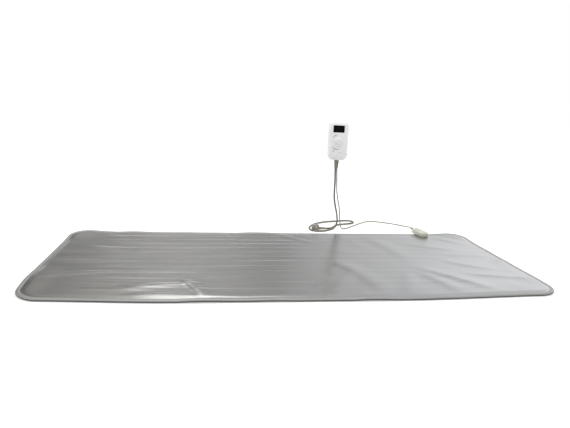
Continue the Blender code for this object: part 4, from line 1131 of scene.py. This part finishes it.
def ring_groove(piece, radius, width, y):
    """A shallow round groove about the dial, cut with a thin ring."""
    deselect()
    bpy.ops.mesh.primitive_torus_add(major_radius=radius, minor_radius=width / 2,
                                     major_segments=96, minor_segments=12,
                                     location=(0, y, DIAL_Z), rotation=(math.pi / 2, 0, 0))
    return combine(piece, bpy.context.object)


combine(front_case, block("cutter", (WINDOW_SIZE[0] + 0.0006, 0.012, WINDOW_SIZE[1] + 0.0006),
                          (0, -FRONT_DEPTH, WINDOW_Z), 0.0030, 5, upright))
combine(front_case, rod_cutter(0.0062, (0, -FRONT_DEPTH, DIAL_Z)))
combine(front_case, rod_cutter(0.0026, (LAMP_XZ[0], -FRONT_DEPTH, LAMP_XZ[1]), steps=24))
combine(front_case, block("cutter", (0.016, 0.0075, 0.0170),
                          (CASE_WIDTH / 2 - 0.0018, -0.0068, SWITCH_Z)))
ring_groove(front_case, 0.0243, 0.0009, -FRONT_DEPTH - 0.0001)
for shell in (front_case, rear_case):
    combine(shell, block("cutter", (0.0176, 0.0106, 0.009), (0, 0, -CASE_HEIGHT / 2)))
combine(rear_case, block("cutter", (0.056, 0.0010, 0.036), (0, REAR_DEPTH + 0.0001, 0.004),
                         0.003, 4, upright))
for x, z in ((-0.0258, -0.0695), (0.0258, -0.0695), (0.0300, 0.0680), (-0.0300, 0.0680)):
    combine(rear_case, rod_cutter(0.0015, (x, REAR_DEPTH, z), steps=20))
for shell, node in ((front_case, "front_shell"), (rear_case, "rear_shell")):
    modify(shell, "BEVEL", width=0.0002, segments=2, limit_method="ANGLE",
           angle_limit=math.radians(45), harden_normals=False)
    placed(shaded(shell, white_abs, 30), handset_frame)
    finished(shell, "control_set", "white_plastic", node)

# %% [markdown]
# ### Display window
# A pane of tinted black acrylic, polished, standing a third of a millimetre proud. The
# lamps behind it are off, so their segments only just show as a slightly paler black.

# %% Window and its unlit segments
acrylic = new_material("smoked acrylic, anti-glare", "#040405", 0.24, ior=1.49,
                       Specular_IOR_Level=0.06)
acrylic_tree = acrylic.node_tree
smears = noise(acrylic_tree, object_place(acrylic_tree), 0.012, detail=4).outputs["Fac"]
wire(acrylic, Roughness=span(acrylic_tree, smears, 0.20, 0.30),
     Base_Color=tint(acrylic_tree, smears, "#040405", "#070708"))
window = block("display_pane", (WINDOW_SIZE[0], 0.0022, WINDOW_SIZE[1]),
               (0, -FRONT_DEPTH + 0.0008, WINDOW_Z), 0.0028, 6, upright)
modify(window, "BEVEL", width=0.0004, segments=3, limit_method="ANGLE",
       angle_limit=math.radians(50))
placed(window, Matrix.Identity(4))
placed(shaded(window, acrylic), handset_frame)
finished(window, "control_set", "black_window", "display_window")


def bar(start, end, width, y, thick=0.00004):
    """A flat six-sided bar between two points, one segment of a digit."""
    start, end = Vector(start), Vector(end)
    along = (end - start).normalized()
    side = Vector((-along.y, along.x)) * width / 2
    inner_a, inner_b = start + along * width / 2, end - along * width / 2
    flat = [start, inner_a - side, inner_b - side, end, inner_b + side, inner_a + side]
    return [[(p.x, y - thick, p.y) for p in flat], [(p.x, y, p.y) for p in flat]]


def segments():
    """Two seven-segment digits, all unlit."""
    pieces = []
    width, height, gap = 0.0085, 0.0165, 0.0006
    y = -FRONT_DEPTH - 0.00031
    for centre in (-0.0075, 0.0060):
        for a, b in (((-1, 1), (1, 1)), ((-1, 0), (1, 0)), ((-1, -1), (1, -1)),
                     ((-1, -1), (-1, 0)), ((-1, 0), (-1, 1)), ((1, -1), (1, 0)), ((1, 0), (1, 1))):
            start = Vector((centre + a[0] * width / 2, WINDOW_Z + a[1] * height / 2))
            end = Vector((centre + b[0] * width / 2, WINDOW_Z + b[1] * height / 2))
            trim = (end - start).normalized() * gap
            pieces.append(loft("segment", bar(start + trim, end - trim, 0.0016, y), True, True))
    deselect()
    for piece in pieces:
        outward(piece, piece.data.vertices[0].co)
        piece.select_set(True)
    bpy.context.view_layer.objects.active = pieces[0]
    bpy.ops.object.join()
    pieces[0].name = pieces[0].data.name = "display_segments"
    return pieces[0]


unlit = moulded("unlit display segments", "#08080a", "#0c0c0e", 0.35, 0.0008, 0.00001,
                Specular_IOR_Level=0.10)
digits = faces_outward(segments())
placed(shaded(digits, unlit), handset_frame)
finished(digits, "control_set", "dark_plastic")

# %% [markdown]
# ### Dial, button and slide
# The dial is a turned ring with sixty shallow flutes for the fingertip, and it turns
# about the button in its middle. The button is dished. The power slide on the right side
# has three ridges. All of them ride on bodies of their own.

# %% The dial with its flutes
dial_profile = rounded([(0.0041, -0.0113), (0.0088, 0.0012), (BUTTON_RADIUS + 0.0006, 0.0066),
                        (BUTTON_RADIUS + 0.0016, 0.0071), (0.0125, 0.0064),
                        (DIAL_RADIUS - 0.0022, 0.0072), (DIAL_RADIUS - 0.0004, 0.0062),
                        (DIAL_RADIUS, 0.0004), (0.0056, 0.0004), (0.0056, -0.0113),
                        (0.0041, -0.0113)], 0.0007, 4)
FLUTES, FLUTE_DEPTH = 60, 0.00038
dial = turned("temperature_dial_ring", list(reversed(dial_profile)), FLUTES * 6)
for vertex in dial.data.vertices:
    radius = math.hypot(vertex.co.x, vertex.co.y)
    if radius > DIAL_RADIUS - 0.0020 and vertex.co.z < 0.0071:
        angle = math.atan2(vertex.co.y, vertex.co.x)
        depth = FLUTE_DEPTH * (0.5 - 0.5 * math.cos(FLUTES * angle))
        vertex.co.xy = vertex.co.xy * (1 - depth / radius)
outward(dial)
face_frame = (handset_frame @ Matrix.Translation((0, -FRONT_DEPTH, DIAL_Z))
              @ Matrix.Rotation(math.pi / 2, 4, "X"))
pointer = block("pointer", (0.0011, 0.0042, 0.0005), (0, 0.0124, 0.0066), 0.0002, 2)
placed(pointer, Matrix.Identity(4))
combine(dial, pointer)
placed(shaded(dial, white_abs, 32), face_frame)
finished(dial, "dial", "white_plastic", "temperature_dial")

# %% The button and the slide
button = turned("mode_button_cap", rounded(
    [(0.0, DIAL_HEIGHT + 0.0012), (0.0042, DIAL_HEIGHT + 0.0013),
     (BUTTON_RADIUS - 0.0014, DIAL_HEIGHT + 0.0016), (BUTTON_RADIUS, DIAL_HEIGHT + 0.0006),
     (BUTTON_RADIUS, 0.0030), (0.0035, 0.0030), (0.0035, -0.0095), (0.0, -0.0095)], 0.0007), 64)
placed(shaded(button, white_abs), face_frame)
finished(button, "button", "white_plastic", "mode_button")

slide_low, slide_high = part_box("power_slide")
slide_height = slide_high.z - slide_low.z
slide_z = (slide_low.z + slide_high.z) / 2 - HANDSET_AT.z
slide_x = CASE_WIDTH / 2 - 0.0046
slide = block("power_slide_knob", (0.0074, 0.0059, slide_height), (slide_x, -0.0068, slide_z),
              0.0005, 3)
placed(slide, Matrix.Identity(4))
for k in (-1, 0, 1):
    ridge = rod("ridge", 0.0006, -0.003, 0.003, 12)
    placed(ridge, Matrix.Translation((slide_x + 0.0038, -0.0068, slide_z + k * 0.0022))
           @ Matrix.Rotation(math.pi / 2, 4, "X"))
    combine(slide, ridge)
placed(shaded(slide, grey_abs), handset_frame)
finished(slide, "power_switch", "grey_plastic", "power_slide")

# %% [markdown]
# ### Printed marks
# Two plain grey arcs about the dial and a thin red one below it are printed in ink a few
# hundredths of a millimetre thick. They stand for a heat scale in the simplest way: each
# is concentric with the dial and the same at both ends, and there is no lettering. The red
# arc keeps well clear of the lamp, so that the two don't read as one emblem.

# %% Arcs of ink about the dial
def printed_arc(name, radius, angle_from, angle_to, width, ink, steps=40):
    """An arc about the dial's centre, widest in its middle and tapered alike to both ends."""
    outer, inner = [], []
    for k in range(steps + 1):
        angle = math.radians(angle_from + (angle_to - angle_from) * k / steps)
        half = width / 2 * max(math.sin(math.pi * k / steps), 0.03)
        for side, line in ((half, outer), (-half, inner)):
            line.append(((radius + side) * math.cos(angle), (radius + side) * math.sin(angle)))
    flat = outer + inner[::-1]
    rings = [[(x, -FRONT_DEPTH - raised, z + DIAL_Z) for x, z in flat]
             for raised in (-0.00002, 0.00006)]
    piece = outward(loft(name, rings, True, True), (0, -FRONT_DEPTH, DIAL_Z))
    modify(piece, "TRIANGULATE")
    outward(piece, piece.data.vertices[0].co)
    placed(shaded(piece, ink), handset_frame)
    return finished(piece, "control_set", "grey_plastic")


def ink(name, low, high):
    return moulded(name, low, high, 0.5, 0.0005, 0.00001, cloud=0.004)


grey_ink = ink("pad-printed grey ink", "#7d7e80", "#8b8c8e")
red_ink = ink("pad-printed red ink", "#bd7680", "#c7848d")
printed_arc("heat_scale_low", 0.0345, 215, 285, 0.0034, grey_ink)
printed_arc("heat_scale_high", 0.0345, 95, 145, 0.0026, grey_ink)
printed_arc("heat_underline", 0.0500, 261, 303, 0.0012, red_ink)

# %% [markdown]
# ### The strain relief
# One soft sleeve grips both cords where they leave the control. It is oval, because the
# cords lie side by side, flares at the top and tapers over its 38 mm length.

# %% The oval sleeve
RELIEF_LENGTH, BASE_Z = 0.038, -CASE_HEIGHT / 2


def oval(width, depth, z, count=40):
    """A rounded oblong ring, fuller than an ellipse."""
    points = []
    for k in range(count):
        angle = 2 * math.pi * k / count
        c, s = math.cos(angle), math.sin(angle)
        points.append((math.copysign(abs(c) ** 0.85, c) * width / 2,
                       math.copysign(abs(s) ** 0.85, s) * depth / 2, z))
    return points


relief_rings = [oval(0.0200, 0.0130, BASE_Z + 0.0074), oval(0.0200, 0.0130, BASE_Z + 0.0028),
                oval(0.0168, 0.0098, BASE_Z + 0.0027), oval(0.0168, 0.0098, BASE_Z - 0.0002),
                oval(0.0226, 0.0146, BASE_Z - 0.0004), oval(0.0231, 0.0151, BASE_Z - 0.0008),
                oval(0.0231, 0.0151, BASE_Z - 0.0018)]
for k in range(1, 13):
    share = k / 12
    flare = (1 - share) ** 1.6
    relief_rings.append(oval(0.0174 + 0.0056 * flare, 0.0100 + 0.0050 * flare,
                             BASE_Z - 0.0022 - (RELIEF_LENGTH - 0.0032) * share))
relief_rings += [oval(0.0172, 0.0098, BASE_Z - RELIEF_LENGTH + 0.0004),
                 oval(0.0164, 0.0090, BASE_Z - RELIEF_LENGTH)]
relief = outward(loft("strain_relief_sleeve", relief_rings, True, True), (0, 0, BASE_Z - 0.015))
modify(relief, "BEVEL", width=0.0003, segments=2, limit_method="ANGLE",
       angle_limit=math.radians(40))
placed(shaded(relief, boot_pvc), handset_frame)
finished(relief, "control_set", "cord_plastic", "strain_relief")

# %% [markdown]
# ## Finishes for the pieces that keep their own shape
# The inner parts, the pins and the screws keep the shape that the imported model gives
# them. Each gets the finish of what it is made of: drawn nickel-plated brass, wadding,
# aluminium foil, felt, silicone-covered carbon wire, and so on.

# %% Metals, cloths and wires
def plated(name, low, high, roughness, scratch):
    """Metal with fine drawing marks along one way."""
    material = new_material(name, low, roughness, metallic=1.0)
    tree = material.node_tree
    marks = noise(tree, object_place(tree), scratch, stretch=(1, 1, 12)).outputs["Fac"]
    wire(material, Base_Color=tint(tree, marks, low, high),
         Roughness=span(tree, marks, roughness - 0.06, roughness + 0.08),
         Normal=bump(tree, marks, 0.00001))
    return material


def fibrous(name, low, high, size, depth, stretch=(1, 1, 1)):
    """Wadding, felt or a cloth: matt, with loose fibres of that size."""
    material = new_material(name, low, 0.92, Sheen_Weight=0.3)
    tree = material.node_tree
    fibres = noise(tree, object_place(tree), size, detail=5, stretch=stretch).outputs["Fac"]
    wire(material, Base_Color=tint(tree, fibres, low, high), Normal=bump(tree, fibres, depth))
    return material


nickel = plated("nickel-plated brass, drawn", "#c9c7c1", "#d8d6d0", 0.24, 0.0008)
zinc = plated("bright zinc-plated steel", "#b9bbbd", "#c9cbcd", 0.30, 0.0010)
foil = plated("aluminium foil film, creased", "#d5d6d7", "#e4e5e6", 0.18, 0.0060)
wadding = fibrous("white cotton wadding", "#dedad0", "#ece9e1", 0.0030, 0.0004)
felt = fibrous("needled felt, beige", "#c5bda9", "#d3ccb9", 0.0015, 0.0003)
carbon = moulded("silicone sheath over carbon fibre, black", "#242424", "#2f2f2f", 0.5, 0.0010,
                 0.00003)
red_sheath = moulded("silicone sheath, red", "#a02a22", "#ad372e", 0.45, 0.0010, 0.00002)
blue_sheath = moulded("silicone sheath, blue", "#27468f", "#32539c", 0.45, 0.0010, 0.00002)
lens = moulded("red acrylic lens", "#b93a46", "#c54a54", 0.18, 0.0008, 0.00001)
board = moulded("glass-epoxy board, green mask", "#1e5a34", "#25683d", 0.35, 0.0012, 0.00002)

KEPT = {
    nickel: ["socket_pin_live", "socket_pin_neutral", "socket_pin_sensor", "plug_pin_live",
             "plug_pin_neutral", "plug_earth_clip_1", "plug_earth_clip_2", "fuse",
             "socket_rivet_1", "socket_rivet_2"],
    zinc: ["connector_screw", "clamp_screw_1", "clamp_screw_2", "case_screw_1", "case_screw_2",
           "case_screw_3", "case_screw_4", "thermal_cutout_1", "thermal_cutout_2"],
    carbon: ["heating_wire"], red_sheath: ["element_lead_live"],
    blue_sheath: ["element_lead_neutral"], lens: ["lamp_lens"], board: ["circuit_board"],
    dark_abs: ["temperature_sensor", "display_module", "switch_body", "power_relay",
               "supply_transformer", "terminal_block"],
    grey_abs: ["socket_contact_block", "socket_backing_plate", "connector_nose",
               "rotary_encoder", "cable_clamp", "plug_insert"],
    mains_sheath: ["mains_tail"], lead_sheath_painted_paler: ["lead_tail"],
}
for material, names in KEPT.items():
    for name in names:
        for material_slot in nodes[name].material_slots:
            material_slot.material = material
print("kept nodes with a new finish:", sum(len(names) for names in KEPT.values()))

# %% [markdown]
# ### The layers inside the mat
# Wadding, foil and felt fill the skin between its covers. They follow its drawn-in front
# edge and its lifted hem, thin down together towards the edge, and end under the hem.

# %% Inner layers, fitted to the skin
felt_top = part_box("element_felt")[1].z


def fitted(level):
    """The height function of a layer's face that lies at that level in a flat mat."""
    def height(x, y):
        room = (top_height(x, y) - edge_lift(x, y) - 0.0006) / felt_top
        return level * np.minimum(room, 1.0) + edge_lift(x, y)
    return height


for node, name, material, slot_name in (
        ("insulation_pad", "wadding_layer", wadding, "wadding"),
        ("reflective_film", "foil_layer", foil, "foil"),
        ("element_felt", "felt_layer", felt, "felt")):
    low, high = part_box(node)
    layer = build_sheet(name, 0.0170, 40, 90, fitted(low.z), fitted(high.z))
    layer.data.materials.append(material)
    finished(layer, "blanket", slot_name, node)

# %% The two cords take the place of the model's cords and ride on the control set
for piece, diameter, exit_at, length, end, extra, replaced in (
        (mains_cord, MAINS_DIAMETER, MAINS_ROUTE[0], MAINS_LENGTH, "plug", PLUG_PIECES,
         "mains_cord"),
        (lead_cord, LEAD_DIAMETER, LEAD_ROUTE[0], LEAD_LENGTH, "object", [], "lead_cord")):
    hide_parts(replaced)
    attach(piece, "control_set")
